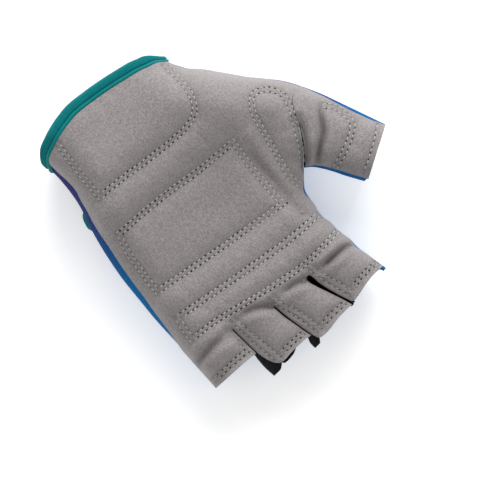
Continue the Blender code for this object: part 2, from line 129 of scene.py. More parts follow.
# Each stall: flex line and hem as tables of (fraction across, y)
FINGERS = {
    "index": {"flex": [(0, 105.4), (0.6, 105.5), (1, 104.6)],
              "hem": [(0, 122.1), (0.15, 121.8), (0.45, 122.2), (0.8, 123.4), (0.95, 123.7), (1, 123.2)]},
    "middle": {"flex": [(0, 104.6), (0.12, 104), (0.55, 101.8), (0.8, 102), (1, 103)],
               "hem": [(0, 124.2), (0.3, 124.1), (0.55, 124.5), (0.75, 125), (0.93, 124.9), (1, 124.1)]},
    "ring": {"flex": [(0, 103), (0.12, 101), (0.6, 97.2), (1, 97.8)],
             "hem": [(0, 121.4), (0.2, 120.8), (0.6, 120.6), (0.9, 120.9), (1, 120.7)]},
    "little": {"flex": [(0, 97.8), (0.2, 97), (1, 97)],
               "hem": [(0, 111.0), (0.3, 110.3), (1, 109.5)]},
}
THUMB_CREASE = [(-62.3, 47.6), (-57.5, 48.8), (-54.6, 52), (-51.5, 58), (-47, 65), (-40.9, 71.7)]
THUMB_HEM_LEFT_Y, THUMB_HEM_RIGHT_Y = 83.0, 93.3
CROTCH = (-40.5, 71.7)
# The grid's line from the crotch to the wrist ends at KNEE_X; its line across the hand ends at FORK_RIGHT_Y
KNEE_X, FORK_RIGHT_Y = -18.0, 71


# ---------------------------------------------------------------- curves and the skin's shape

def smooth_table(table, values):
    """Read (key, value) pairs as a smooth curve that never overshoots its points."""
    keys, outs = np.array(table, dtype=float).T
    secants = np.diff(outs) / np.diff(keys)
    slopes = np.zeros(len(keys))
    slopes[0], slopes[-1] = secants[0], secants[-1]
    before, after = secants[:-1], secants[1:]
    turning = before * after <= 0
    total = np.where(turning, 1.0, before + after)
    slopes[1:-1] = np.where(turning, 0.0, 2 * before * after / total)
    values = np.clip(np.asarray(values, dtype=float), keys[0], keys[-1])
    i = np.clip(np.searchsorted(keys, values) - 1, 0, len(keys) - 2)
    step = keys[i + 1] - keys[i]
    t = (values - keys[i]) / step
    rise = outs[i + 1] - outs[i]
    bend = slopes[i] * step * t * (1 - t) ** 2 - slopes[i + 1] * step * t ** 2 * (1 - t)
    return outs[i] + rise * t * t * (3 - 2 * t) + bend


def smooth_step(values):
    t = np.clip(values, 0, 1)
    return t * t * (3 - 2 * t)


def lengths_along(path):
    return np.concatenate([[0], np.cumsum(np.linalg.norm(np.diff(path, axis=0), axis=1))])


def points_at(path, keys, wanted):
    """Points of a path at the wanted values, where keys holds one rising value for each of its points."""
    return np.stack([np.interp(wanted, keys, path[:, k]) for k in range(path.shape[1])], axis=1)


def rounded_path(points, spacing=0.5):
    """A smooth curve through given points, resampled evenly."""
    points = np.array(points, dtype=float)
    if len(points) == 2:
        points = np.array([points[0], points.mean(axis=0), points[1]])
    ends = np.concatenate([[2 * points[0] - points[1]], points, [2 * points[-1] - points[-2]]])
    curve = []
    for i in range(1, len(ends) - 2):
        a, b, c, d = ends[i - 1:i + 3]
        for t in np.linspace(0, 1, 24, endpoint=False):
            curve.append(0.5 * (2 * b + (c - a) * t + (2 * a - 5 * b + 4 * c - d) * t * t
                                + (3 * b - a - 3 * c + d) * t ** 3))
    curve.append(ends[-2])
    curve = np.array(curve)
    lengths = lengths_along(curve)
    count = max(int(lengths[-1] / spacing), 2)
    return points_at(curve, lengths, np.linspace(0, lengths[-1], count + 1))


def beside(path, gap, trim_start=0.0, trim_end=0.0):
    """The path moved sideways, to its right when gap is positive, and shortened at its ends."""
    step = np.gradient(path, axis=0)
    step /= np.linalg.norm(step, axis=1)[:, None]
    moved = path + np.stack([step[:, 1], -step[:, 0]], axis=1) * gap
    lengths = lengths_along(moved)
    keep = (lengths >= trim_start) & (lengths <= lengths[-1] - trim_end)
    return moved[keep]


def edge_path(table, low, high, step=0.6):
    ys = np.linspace(low, high, int((high - low) / step) + 1)
    return np.stack([smooth_table(table, ys), ys], axis=1)


def segments(paths):
    starts = np.concatenate([path[:-1] for path in paths])
    ends = np.concatenate([path[1:] for path in paths])
    return starts, ends


def nearest(points, lines, chunk=1500):
    """Distance from each plan point to the nearest line, and the direction away from it."""
    starts, ends = lines
    span = ends - starts
    length2 = np.maximum((span ** 2).sum(axis=1), 1e-9)
    sx, sy, dx, dy = (a.astype(np.float32) for a in (*starts.T, *(span / length2[:, None]).T))
    ex, ey = (a.astype(np.float32) for a in span.T)
    best = []
    for first in range(0, len(points), chunk):
        part = points[first:first + chunk].astype(np.float32)
        rx, ry = part[:, :1] - sx, part[:, 1:] - sy
        along = np.clip(rx * dx + ry * dy, 0, 1)
        rx -= along * ex
        ry -= along * ey
        best.append((rx * rx + ry * ry).argmin(axis=1))
    best = np.concatenate(best)
    reach = points - starts[best]
    along = np.clip((reach * span[best]).sum(axis=1) / length2[best], 0, 1)
    gaps = reach - along[:, None] * span[best]
    distance = np.linalg.norm(gaps, axis=1)
    return distance, gaps / np.maximum(distance, 1e-9)[:, None]


OUTER_LINES = segments([edge_path(THUMB_SIDE, -16, 90), edge_path(THUMB_INNER, 72, 98),
                        edge_path(WEB_SIDE, 72, 128), edge_path(LITTLE_SIDE, -16, 114)])
SLIT_LINES = segments([edge_path(table, table[0][0], table[-1][0]) for table in SLIT_EDGES.values()])


def skin(plan, side, depth=0.0):
    """Points of the skin over plan points. side is 1 on the palm and -1 on the back; depth goes inwards."""
    plan = np.asarray(plan, dtype=float)
    points = plan.reshape(-1, 2)
    side = np.broadcast_to(side, plan.shape[:-1]).reshape(-1)
    depth = np.broadcast_to(depth, plan.shape[:-1]).reshape(-1)
    x, y = points.T
    distance, inward = nearest(points, OUTER_LINES)
    slit_distance = nearest(points, SLIT_LINES)[0]
    thumb = smooth_step((THUMB_FADE_X - x) / THUMB_FADE_WIDTH)
    roll = smooth_table(ROLL, y) * (1 - thumb) + THUMB_ROLL * thumb
    across = 1 - np.clip(distance / roll, 0, 1)
    rise = np.sqrt(1 - across ** 2)
    slit_across = 1 - np.clip(slit_distance / SLIT_ROLL, 0, 1)
    lift = np.where(side > 0, SLIT_LIFT_PALM, SLIT_LIFT_BACK)
    slit_rise = lift + (1 - lift) * np.sqrt(1 - slit_across ** 2)
    waist = smooth_table(WAIST, y) + WAIST_LIFT * thumb
    crown = smooth_table(CROWN, y)
    for at_x, at_y, height, spread in MOUNDS:
        crown = crown + height * np.exp(-((x - at_x) ** 2 + (y - at_y) ** 2) / (2 * spread ** 2))
    floor = smooth_table(FLOOR, y) + THUMB_LIFT * thumb
    height = np.where(side > 0, crown, floor) - waist
    z = waist + height * rise * slit_rise - side * rise * depth
    moved = points + inward * (across * depth)[:, None]
    return np.column_stack([moved, z]).reshape(plan.shape[:-1] + (3,))


# ---------------------------------------------------------------- stitched rows and creases

ROW_GAP = 1.8
HEEL_LINE = [(-30.8, 3.0), (-31.0, 7), (-30.7, 14), (-29.7, 20.5), (-26.3, 25.8), (-20, 28.2), (-10, 28),
             (3, 26.5), (14, 24.8), (26.4, 23.6)]
HEEL_SIDE = [(26.4, 23.6), (25.5, 14), (24.4, 5), (23.3, -4.4)]
CENTRE_SIDES = [[(-28.8, 43.8), (-27, 55), (-25.6, 69), (-25, 77.3)],
                [(-25, 77.3), (-10, 74.8), (10, 71.5), (37, 66.3)],
                [(37, 66.3), (35.6, 56), (34, 46.5), (31, 37.4)],
                [(31, 37.4), (10, 39), (-10, 42), (-28.8, 43.8)]]
BAR_TOP = [(-31.9, 100.2), (-20, 100.6), (-10, 99.8), (5, 96.8), (20, 93.2), (30, 90.9), (40.5, 89.7)]
BAR_BOTTOM = [(-31.1, 90), (-18, 89.7), (0, 86.8), (20, 83), (36.6, 79.9)]
BAR_FOOT = [(-31.1, 88.3), (-18, 87.3), (0, 84.6), (20, 81), (38, 77.7)]
BAR_END = [(40.5, 89.7), (39.7, 83.5), (38, 77.7)]
WEB_LINE = [(-41.9, 70.6), (-45, 67.3), (-48, 62.8), (-51, 57.4), (-53.9, 52.4), (-55.6, 47), (-54.8, 42.6),
            (-52, 38.6), (-48, 36.4), (-44.6, 37.2), (-41.4, 40.8), (-39.6, 45.5), (-37.2, 54.5), (-34.2, 65),
            (-32.9, 71), (-33.6, 77.2)]
THUMB_PATCH = [(-63.6, 59.4), (-66.3, 62), (-67.7, 66.5), (-68, 71), (-66.3, 75), (-60, 78.5), (-54, 80.6),
               (-48, 82)]
THUMB_HEM_ROW = [(-73.2, 80.6), (-68, 84), (-62, 87.4), (-55.8, 90.2)]
THUMB_BACK_HEM_ROW = [(-74.2, 80.6), (-65.5, 85.6), (-56.6, 90.6)]
FINGER_ROWS = {
    "index": [[(-34, 120.2), (-27, 119.8), (-19.7, 120.6)], [(-34, 118.6), (-27, 118.3), (-20, 119)],
              [(-17.2, 121), (-16, 116), (-14.5, 110.5), (-13.2, 104), (-12.8, 101)],
              [(-19.4, 120), (-18.2, 115), (-16.6, 109.5), (-15.4, 104), (-15, 101.6)]],
    "middle": [[(-13.4, 122.6), (-6, 122.4), (0.2, 122.9)], [(-13, 120.8), (-6, 120.6), (-0.2, 121.1)],
               [(0, 122), (0.6, 115), (2.2, 109), (4, 104.5), (4.6, 99)],
               [(2.3, 122.6), (3.2, 115), (4.6, 109), (6.1, 103.2), (6.6, 98.6)]],
    "ring": [[(6.6, 119.4), (13, 119), (19.4, 119)], [(7, 117.6), (13, 117.2), (19.2, 117.3)],
             [(19.6, 118.6), (20.2, 111), (20.9, 104), (21.5, 95)],
             [(22.3, 117.6), (22.9, 111), (23.3, 104), (23.7, 94.6)]],
    "little": [[(27.6, 108.6), (35, 108), (45, 107.6)], [(27.6, 106.8), (35, 106.2), (45, 105.8)],
               [(27.2, 107), (27, 103), (26.6, 98.6)]],
}
# Folds of the suede: (path, depth, width, length over which the fold deepens from its first point)
CREASES = [([(-32.6, 106.8), (-28, 105.9), (-22, 105.5), (-16.5, 105.3)], 2.3, 1.2, 1),
           ([(-8.6, 103.9), (-5, 102.4), (2.5, 100.9)], 1.5, 1.3, 1),
           ([(8.2, 101.6), (12, 98.6), (16, 96.8), (21, 95.8)], 1.6, 1.4, 1),
           ([(45.5, 97.2), (36, 96.6), (29, 97.6)], 1.5, 1.6, 1),
           ([(-40.9, 71.4), (-44, 69), (-47.3, 65), (-50, 60.8), (-52.2, 56.8)], 2.6, 1.3, 0),
           ([(-65, 56.6), (-60, 62), (-55.5, 67.7), (-50.5, 71), (-44, 75)], 2.0, 1.2, 9),
           ([(-27.3, 84), (-28, 74), (-28.6, 62), (-29.5, 50)], 1.0, 2.2, 1)]


def double_row(points, gap=ROW_GAP, trim_start=0.0, trim_end=0.0):
    path = rounded_path(points)
    return [path, beside(path, gap, trim_start, trim_end)]


def stitched_rows():
    """Every stitched row, by the stall or body that it is sewn to."""
    body = double_row(HEEL_LINE, trim_end=ROW_GAP) + double_row(HEEL_SIDE, trim_start=ROW_GAP)
    for side in CENTRE_SIDES:
        body += double_row(side, 1.9, 1.9, 1.9)
    body += double_row(BAR_TOP, 1.7, 0, 1.5)
    body += [rounded_path(BAR_BOTTOM), rounded_path(BAR_FOOT)]
    body += double_row(BAR_END, 2.0, 1.6, 1.2)
    body += double_row(WEB_LINE, -ROW_GAP, 1.0, 0.5)
    rows = {"body": body}
    for name, paths in FINGER_ROWS.items():
        rows[name] = [rounded_path(path) for path in paths]
    rows["thumb"] = double_row(THUMB_PATCH, 1.9, 0.6, 0.3) + [rounded_path(THUMB_HEM_ROW)]
    return rows


ROWS = stitched_rows()
ROW_LINES = segments([np.concatenate([path[::3], path[-1:]]) for paths in ROWS.values() for path in paths])
CREASE_LINES = [(segments([rounded_path(path)]), path, depth, width, growth)
                for path, depth, width, growth in CREASES]
QUILT_HEIGHT, QUILT_REACH, QUILT_ROUNDNESS, QUILT_CAP = 1.9, 3.0, 1.2, 2.1
# The quilting's height is part formula and part simulated cloth
FORMULA_SHARE, CLOTH_SHARE = 0.4, 0.8
# A stitched row's groove: its depth and width, and the painted shade along it and that shade's width
GROOVE_DEPTH, GROOVE_WIDTH, GROOVE_SHADE, GROOVE_SHADE_WIDTH = 0.25, 0.6, 0.30, 0.9
WAVE_HEIGHT, WAVE_SIZE = 0.08, 4.5
# A fold this deep takes its full painted shade
FULL_FOLD_DEPTH = 2.2
# A fold grows shallow near its last point. Its painted shade and the low bank beside it are shares of its own
# size
FOLD_TAIL, FOLD_FADE = 1.5, 7
FOLD_SHADE_WIDTH, BANK_HEIGHT, BANK_PLACE, BANK_WIDTH = 0.9, 0.3, 2.6, 1.3
# Towards the seam with the back, the quilting flattens out over this distance
SEAM_REACH, SEAM_ROUNDNESS = 2.4, 1.5


def waves(x, y, size):
    """Slow, uneven rise and fall of a worn cloth, from a few crossed waves."""
    return (np.sin(x / size + 1.3 * np.sin(y / (1.7 * size))) * np.cos(y / (0.8 * size) + 0.7)
            + 0.6 * np.sin((x + 1.6 * y) / (1.3 * size) + 2.1))


def seam_path(table, reach, sign, low, high):
    """The line where the suede meets the back, inside one side of the outline."""
    path = edge_path(table, low, high)
    path[:, 0] += sign * smooth_table(reach, path[:, 1])
    return path


SEAM_LINES = segments([seam_path(THUMB_SIDE, THUMB_REACH, 1, -16, 84),
                       seam_path(WEB_SIDE, WEB_REACH, 1, 72, 125),
                       seam_path(THUMB_INNER, INNER_REACH, -1, 72, 95),
                       seam_path(LITTLE_SIDE, LITTLE_REACH, -1, -16, 112)])


# ---------------------------------------------------------------- quilting, by cloth simulation

CELL = 0.8
CLOTH_X, CLOTH_Y = np.arange(-80, 50.01, CELL), np.arange(-12, 128.01, CELL)
CLOTH_SCALE = 10 * MM
CLOTH_FRAMES = 20
# Grid points this near to a sewn line or to a fold are held down
SEWN_WIDTH, FOLDED_WIDTH = 0.58 * CELL, 0.65 * CELL


def inside_outline(points):
    x, y = points.T
    left = np.where(y < CROTCH[1], smooth_table(THUMB_SIDE, y), smooth_table(WEB_SIDE, y))
    hand = (x > left) & (x < smooth_table(LITTLE_SIDE, y)) & (y > cuff_y(x, 1) + 0.5)
    thumb = (y >= CROTCH[1]) & (x > smooth_table(THUMB_SIDE, y)) & (x < smooth_table(THUMB_INNER, y))
    return hand | thumb


def held_down(points):
    """Which grid points are sewn down, lie in a fold or are outside the suede."""
    sewn = np.minimum(nearest(points, ROW_LINES)[0], nearest(points, SEAM_LINES)[0]) < SEWN_WIDTH
    for lines, *_ in CREASE_LINES:
        sewn |= nearest(points, lines)[0] < FOLDED_WIDTH
    return sewn | ~inside_outline(points)


def blow_up(sheet):
    """Run the cloth simulation on a sheet, held by its group of sewn points, and return its points."""
    cloth = sheet.modifiers.new("cloth", "CLOTH")
    cloth.point_cache.frame_end = CLOTH_FRAMES
    settings = cloth.settings
    settings.quality = 4
    settings.bending_stiffness = 0.5
    settings.shrink_min = -0.03
    settings.use_pressure = True
    settings.uniform_pressure_force = 6
    settings.effector_weights.gravity = 0
    settings.vertex_group_mass = "sewn"
    for number in range(1, CLOTH_FRAMES + 1):
        bpy.context.scene.frame_set(number)
    blown = sheet.evaluated_get(bpy.context.evaluated_depsgraph_get()).to_mesh()
    places = np.empty(3 * len(blown.vertices), dtype=np.float32)
    blown.vertices.foreach_get("co", places)
    return places.reshape(-1, 3)


def inflate_quilt():
    """Blow up a flat sheet of suede, sewn down along every stitched row and fold, and return its heights.

    The sheet is ten times life size while it is simulated, which the solver handles better."""
    grid_x, grid_y = np.meshgrid(CLOTH_X, CLOTH_Y)
    points = np.stack([grid_x.ravel(), grid_y.ravel()], axis=1)
    sewn = held_down(points)
    quads = quads_of(len(CLOTH_Y), len(CLOTH_X))
    quads = quads[~sewn[quads].all(axis=1)]
    used, renumbered = np.unique(quads, return_inverse=True)
    mesh = bpy.data.meshes.new("quilt")
    flat = np.column_stack([points[used] * CLOTH_SCALE, np.zeros(len(used))])
    mesh.from_pydata(flat.tolist(), [], renumbered.reshape(-1, 4).tolist())
    sheet = bpy.data.objects.new("quilt", mesh)
    bpy.context.scene.collection.objects.link(sheet)
    pins = sheet.vertex_groups.new(name="sewn")
    pins.add(np.nonzero(sewn[used])[0].tolist(), 1.0, "REPLACE")
    heights = np.zeros(len(points))
    heights[used] = blow_up(sheet)[:, 2] / CLOTH_SCALE
    heights = heights.reshape(len(CLOTH_Y), len(CLOTH_X))
    for _ in range(2):
        heights[1:-1] = (heights[:-2] + 2 * heights[1:-1] + heights[2:]) / 4
        heights[:, 1:-1] = (heights[:, :-2] + 2 * heights[:, 1:-1] + heights[:, 2:]) / 4
    bpy.data.objects.remove(sheet)
    bpy.context.scene.frame_set(1)
    return QUILT_CAP * np.tanh(heights / QUILT_CAP)


def cubic_weights(t):
    return np.stack([-0.5 * t + t * t - 0.5 * t ** 3, 1 - 2.5 * t * t + 1.5 * t ** 3,
                     0.5 * t + 2 * t * t - 1.5 * t ** 3, -0.5 * t * t + 0.5 * t ** 3])


def quilt_height(points):
    """The inflated quilt's height over plan points, smooth between its grid points."""
    column = np.clip((points[:, 0] - CLOTH_X[0]) / CELL, 1, len(CLOTH_X) - 3.001)
    row = np.clip((points[:, 1] - CLOTH_Y[0]) / CELL, 1, len(CLOTH_Y) - 3.001)
    i, j = column.astype(int), row.astype(int)
    across, along = cubic_weights(column - i), cubic_weights(row - j)
    total = np.zeros(len(points))
    for a in range(4):
        for b in range(4):
            total += along[a] * across[b] * QUILT[j + a - 1, i + b - 1]
    return total


def relief_and_painted_shade(plan):
    """How far the suede stands out from the skin, and from 0 to 1 how much painted shade it takes, deep in a
    fold or stitched groove.
    """
    points = np.asarray(plan, dtype=float).reshape(-1, 2)
    x, y = points.T
    seam = nearest(points, ROW_LINES)[0]
    high = QUILT_HEIGHT * (1 - np.exp(-(seam / QUILT_REACH) ** QUILT_ROUNDNESS))
    if QUILT is not None:
        high = FORMULA_SHARE * high + CLOTH_SHARE * quilt_height(points)
    high -= GROOVE_DEPTH * np.exp(-(seam / GROOVE_WIDTH) ** 2)
    high += WAVE_HEIGHT * waves(x, y, WAVE_SIZE) * (1 - np.exp(-seam / QUILT_REACH))
    # Painted shade: darkest along the stitched grooves and in deep folds
    fold = GROOVE_SHADE * np.exp(-(seam / GROOVE_SHADE_WIDTH) ** 2)
    for lines, path, depth, width, growth in CREASE_LINES:
        away = nearest(points, lines)[0]
        first = np.linalg.norm(points - np.array(path[0]), axis=1)
        last = np.linalg.norm(points - np.array(path[-1]), axis=1)
        deep = depth * smooth_step(first / max(growth, 0.01)) * smooth_step((last + FOLD_TAIL) / FOLD_FADE)
        high -= deep * np.exp(-(away / width) ** 2)
        shade = np.minimum(deep / FULL_FOLD_DEPTH, 1) * np.exp(-(away / (FOLD_SHADE_WIDTH * width)) ** 2)
        fold = np.maximum(fold, shade)
        high += BANK_HEIGHT * deep * np.exp(-((away - BANK_PLACE * width) / (BANK_WIDTH * width)) ** 2)
    edge = nearest(points, SEAM_LINES)[0]
    high = high * (1 - np.exp(-(edge / SEAM_REACH) ** SEAM_ROUNDNESS)) + SUEDE_PROUD
    shape = np.asarray(plan).shape[:-1]
    return high.reshape(shape), fold.reshape(shape)


# ---------------------------------------------------------------- plan grids

def even(count):
    return np.linspace(0, 1, count + 1)


def eased(count):
    """Fractions that crowd a little towards both ends, where the skin rolls over its edge."""
    t = even(count)
    return 0.6 * t + 0.2 * (1 - np.cos(np.pi * t))


def between(start, end, fractions):
    start, end = np.array(start, dtype=float), np.array(end, dtype=float)
    return start + (end - start) * np.asarray(fractions)[:, None]


def cuff_y(x, side):
    """The wrist edge: side is 1 on the palm and -1 on the back."""
    if side > 0:
        return smooth_table(CUFF_PALM, x)
    half = np.where(x < CUFF_CREST_X, CUFF_CREST_X - CUFF_LEFT_X, CUFF_RIGHT_X - CUFF_CREST_X)
    ends = CUFF_LEFT_Y + (CUFF_RIGHT_Y - CUFF_LEFT_Y) * (x - CUFF_LEFT_X) / (CUFF_RIGHT_X - CUFF_LEFT_X)
    return ends - CUFF_DIP_BACK * (1 - np.minimum(((x - CUFF_CREST_X) / half) ** 2, 1))


def stall_edges(name, y, web_reach, little_reach):
    """The x of a stall's two sides at height y on the plan."""
    if name == "index":
        left = smooth_table(WEB_SIDE, y) + smooth_table(web_reach, y)
    else:
        left = smooth_table(SLIT_EDGES[name, "thumb"], y)
    if name == "little":
        right = smooth_table(LITTLE_SIDE, y) - smooth_table(little_reach, y)
    else:
        right = smooth_table(SLIT_EDGES[name, "little"], y)
    return left, right


# The directions in which a hand panel's edge goes round the foot of a slit
SLIT_FOOT_ANGLES = np.radians((215, 245, 270, 295, 325))


def slit_foot(number):
    """Middle and half width of a slit at its foot, between stall number and the one before it."""
    names = list(FINGERS)
    y = FINGERS[names[number]]["flex"][0][1]
    before = float(smooth_table(SLIT_EDGES[names[number - 1], "little"], y))
    after = float(smooth_table(SLIT_EDGES[names[number], "thumb"], y))
    return np.array([(before + after) / 2, y]), (after - before) / 2


def stall_grid(name, rows, columns, reaches, extra=0.0):
    """Plan points of a stall, from its flex line to its hem, extra millimetres longer at the hem."""
    finger = FINGERS[name]
    u = eased(columns)[None, :]
    v = even(rows)[:, None]
    flex = smooth_table(finger["flex"], eased(columns))[None, :]
    hem = smooth_table(finger["hem"], eased(columns))[None, :] + extra
    y = flex + (hem - flex) * v
    left, right = stall_edges(name, y, *reaches)
    return np.stack([left + (right - left) * u, y], axis=2)


def finger_root_row(columns, reaches):
    """The last row of a hand panel: each finger's flex line, joined round the foot of each slit."""
    row = []
    for number, (name, count) in enumerate(zip(FINGERS, columns)):
        grid = stall_grid(name, 1, count, reaches)
        if number:
            foot, radius = slit_foot(number)
            for angle in SLIT_FOOT_ANGLES:
                row.append(foot + radius * np.array([math.cos(angle), math.sin(angle)]))
        row.extend(grid[0])
    return np.array(row)


def crease_bow(fractions):
    """How far the thumb's flex line bows out of the straight line between its ends."""
    crease = rounded_path(THUMB_CREASE, 0.25)
    last = len(crease) - 1
    wanted = fractions * last
    return points_at(crease, np.arange(last + 1), wanted) - between(crease[0], crease[-1], wanted / last)


def hand_grid(counts, side, thumb_reach, web_reach, little_reach):
    """Plan rows of the whole hand: below the fork, with the thumb's mound, and above it."""
    lower_count, upper_count, thenar_count, finger_counts = counts
    last = finger_root_row(finger_counts, (web_reach, little_reach))
    palm_count = len(last) - 1
    t = even(thenar_count)
    spread = 0.5 * t + 0.5 * (1 - np.cos(np.pi / 2 * t))
    lower = []
    sag = 0
    for v in even(lower_count):
        left_y = CUFF_LEFT_Y + (THUMB_CREASE[0][1] - CUFF_LEFT_Y) * v
        right_y = CUFF_RIGHT_Y + (FORK_RIGHT_Y - CUFF_RIGHT_Y) * v
        left = (float(smooth_table(THUMB_SIDE, left_y) + smooth_table(thumb_reach, left_y)), left_y)
        right = (float(smooth_table(LITTLE_SIDE, right_y) - smooth_table(little_reach, right_y)), right_y)
        knee = np.array([KNEE_X, CUFF_LEFT_Y]) * (1 - v) + np.array(CROTCH) * v
        thenar = between(left, knee, spread) + crease_bow(spread) * v ** 4
        row = np.concatenate([thenar, between(knee, right, eased(palm_count))[1:]])
        if not lower:
            sag = cuff_y(row[:, 0], side) - row[:, 1]
        row[:, 1] += (1 - v) ** 2 * sag
        lower.append(row)
    first = lower[-1][thenar_count:]
    upper = []
    for w in even(upper_count)[1:]:
        u = np.linspace(0, 1, len(last))[:, None]
        left_y = CROTCH[1] + (last[0, 1] - CROTCH[1]) * w
        right_y = first[-1, 1] + (last[-1, 1] - first[-1, 1]) * w
        left_x = smooth_table(WEB_SIDE, left_y) + smooth_table(web_reach, left_y)
        right_x = smooth_table(LITTLE_SIDE, right_y) - smooth_table(little_reach, right_y)
        left, right = np.array([float(left_x), left_y]), np.array([float(right_x), right_y])
        straight = first * (1 - w) + last * w
        upper.append(straight + (1 - u) * (left - straight[0]) + u * (right - straight[-1]))
    return lower, upper


# ---------------------------------------------------------------- meshes

def grid_quads(index):
    """Quads between the neighbours in a grid of vertex numbers, or in a stack of such grids."""
    corners = [index[..., :-1, :-1], index[..., :-1, 1:], index[..., 1:, 1:], index[..., 1:, :-1]]
    return np.stack(corners, axis=-1).reshape(-1, 4)


def quads_of(rows, columns):
    return grid_quads(np.arange(rows * columns).reshape(rows, columns))


QUILT = inflate_quilt()


def closed_shell(outer, inner, quads):
    """An outer and an inner copy of the same quads, joined by a rim along their open edges."""
    count = len(outer)
    a = quads.ravel()
    b = np.roll(quads, -1, axis=1).ravel()
    forward = a.astype(np.int64) * count + b
    backward = b.astype(np.int64) * count + a
    open_edge = ~np.isin(forward, backward)
    rims = np.stack([b[open_edge], a[open_edge], a[open_edge] + count, b[open_edge] + count], axis=1)
    faces = np.concatenate([quads, quads[:, ::-1] + count, rims])
    return np.concatenate([outer, inner]), faces, len(quads)


def add_mesh(name, points, faces, materials, indices=None, smooth=60, painted_shade=None):
    """A mesh object from plan-frame points in millimetres and quad faces, with its faces pointing out."""
    points = np.array(points, dtype=float).reshape(-1, 3)
    points[:, :2] += PLAN_SHIFT
    points *= MM
    faces = np.asarray(faces, dtype=np.int32)
    corner = points[faces]
    volume = (np.cross(corner[:, 1] - corner[:, 0], corner[:, 2] - corner[:, 0]) * corner[:, 0]).sum()
    volume += (np.cross(corner[:, 2] - corner[:, 0], corner[:, 3] - corner[:, 0]) * corner[:, 0]).sum()
    if volume < 0:
        faces = faces[:, ::-1]
    mesh = bpy.data.meshes.new(name)
    mesh.vertices.add(len(points))
    mesh.vertices.foreach_set("co", points.astype(np.float32).ravel())
    mesh.loops.add(faces.size)
    mesh.loops.foreach_set("vertex_index", faces.ravel())
    mesh.polygons.add(len(faces))
    mesh.polygons.foreach_set("loop_start", np.arange(0, faces.size, 4, dtype=np.int32))
    for material in materials:
        mesh.materials.append(material)
    if indices is not None:
        mesh.polygons.foreach_set("material_index", np.asarray(indices, dtype=np.int32))
    # The suede's painted shade in folds and grooves is stored as the fold attribute
    if painted_shade is not None:
        mesh.attributes.new("fold", "FLOAT", "POINT").data.foreach_set("value", painted_shade.astype(np.float32))
    mesh.update(calc_edges=True)
    mesh.validate()
    mesh.shade_smooth()
    mesh.set_sharp_from_angle(angle=math.radians(smooth))
    piece = bpy.data.objects.new(name, mesh)
    bpy.context.scene.collection.objects.link(piece)
    return piece


def shell_piece(name, outer, inner, quads, materials, painted_shade=None):
    """A closed cloth piece: its outer face and rim take the first material, its inner face the second."""
    points, faces, count = closed_shell(outer.reshape(-1, 3), inner.reshape(-1, 3), quads)
    indices = np.zeros(len(faces), dtype=np.int32)
    if len(materials) > 1:
        indices[count:2 * count] = 1
    if painted_shade is not None:
        painted_shade = np.concatenate([painted_shade, np.zeros(len(points) - len(painted_shade))])
    return add_mesh(name, points, faces, materials, indices, painted_shade=painted_shade)


def suede_piece(name, plan, quads, thickness=PALM_CLOTH):
    """A quilted suede face over plan points of the palm."""
    high, painted_shade = relief_and_painted_shade(plan)
    outer = skin(plan, 1, -high)
    inner = skin(plan, 1, thickness)
    return shell_piece(name, outer, inner, quads, [SUEDE, SUEDE_INSIDE], painted_shade)


def stretch_piece(name, plan, side, quads, depth=0.0):
    """A stretch face, at its own depth on the back and tucked under the suede where it wraps round."""
    outer = skin(plan, side, np.where(side > 0, TUCK, depth))
    inner = skin(plan, side, BACK_CLOTH)
    return shell_piece(name, outer, inner, quads, [BACK, BACK_INSIDE])


def world(x, y, z):
    return ((x + PLAN_SHIFT[0]) * MM, (y + PLAN_SHIFT[1]) * MM, z * MM)


def follow_stall(piece):
    """Bake the piece's placement into its mesh."""
    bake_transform(piece)


# ---------------------------------------------------------------- materials

def new_material(name):
    material = bpy.data.materials.new(name)
    material.use_nodes = True
    tree = material.node_tree
    shader = tree.nodes["Principled BSDF"]
    place = tree.nodes.new("ShaderNodeTexCoord")
    return material, tree, shader, place.outputs["Object"]


def node(tree, kind, values=None, links=None, **settings):
    """A shader node with its settings, its sockets' values and what feeds them."""
    made = tree.nodes.new(kind)
    for key, value in settings.items():
        setattr(made, key, value)
    for key, value in (values or {}).items():
        made.inputs[key].default_value = value
    for key, source in (links or {}).items():
        tree.links.new(source, made.inputs[key])
    return made


def noise(tree, vector, scale, detail=2.0, roughness=0.5, distortion=0.0):
    values = {"Scale": scale, "Detail": detail, "Roughness": roughness, "Distortion": distortion}
    return node(tree, "ShaderNodeTexNoise", values, {"Vector": vector}).outputs["Fac"]


def ramp(tree, source, stops):
    made = node(tree, "ShaderNodeValToRGB", links={"Fac": source})
    elements = made.color_ramp.elements
    while len(elements) < len(stops):
        elements.new(0.5)
    for element, (position, colour) in zip(elements, stops):
        element.position = position
        element.color = (*colour, 1)
    return made.outputs["Color"]


def mapped(tree, source, low_in, high_in, low_out, high_out):
    values = {"From Min": low_in, "From Max": high_in, "To Min": low_out, "To Max": high_out}
    return node(tree, "ShaderNodeMapRange", values, {"Value": source}).outputs["Result"]


def maths(tree, operation, a, b):
    made = node(tree, "ShaderNodeMath", operation=operation)
    for socket, source in zip(made.inputs, (a, b)):
        if isinstance(source, (int, float)):
            socket.default_value = source
        else:
            tree.links.new(source, socket)
    return made.outputs["Value"]


def mix(tree, kind, amount, a, b):
    made = node(tree, "ShaderNodeMix", data_type="RGBA", blend_type=kind)
    for socket, source in ((made.inputs["Factor"], amount), (made.inputs[6], a), (made.inputs[7], b)):
        if isinstance(source, (int, float)):
            socket.default_value = source
        elif isinstance(source, tuple):
            socket.default_value = (*source, 1)
        else:
            tree.links.new(source, socket)
    return made.outputs[2]


def scaled(tree, vector, scale):
    return node(tree, "ShaderNodeMapping", {"Scale": scale}, {"Vector": vector}).outputs["Vector"]


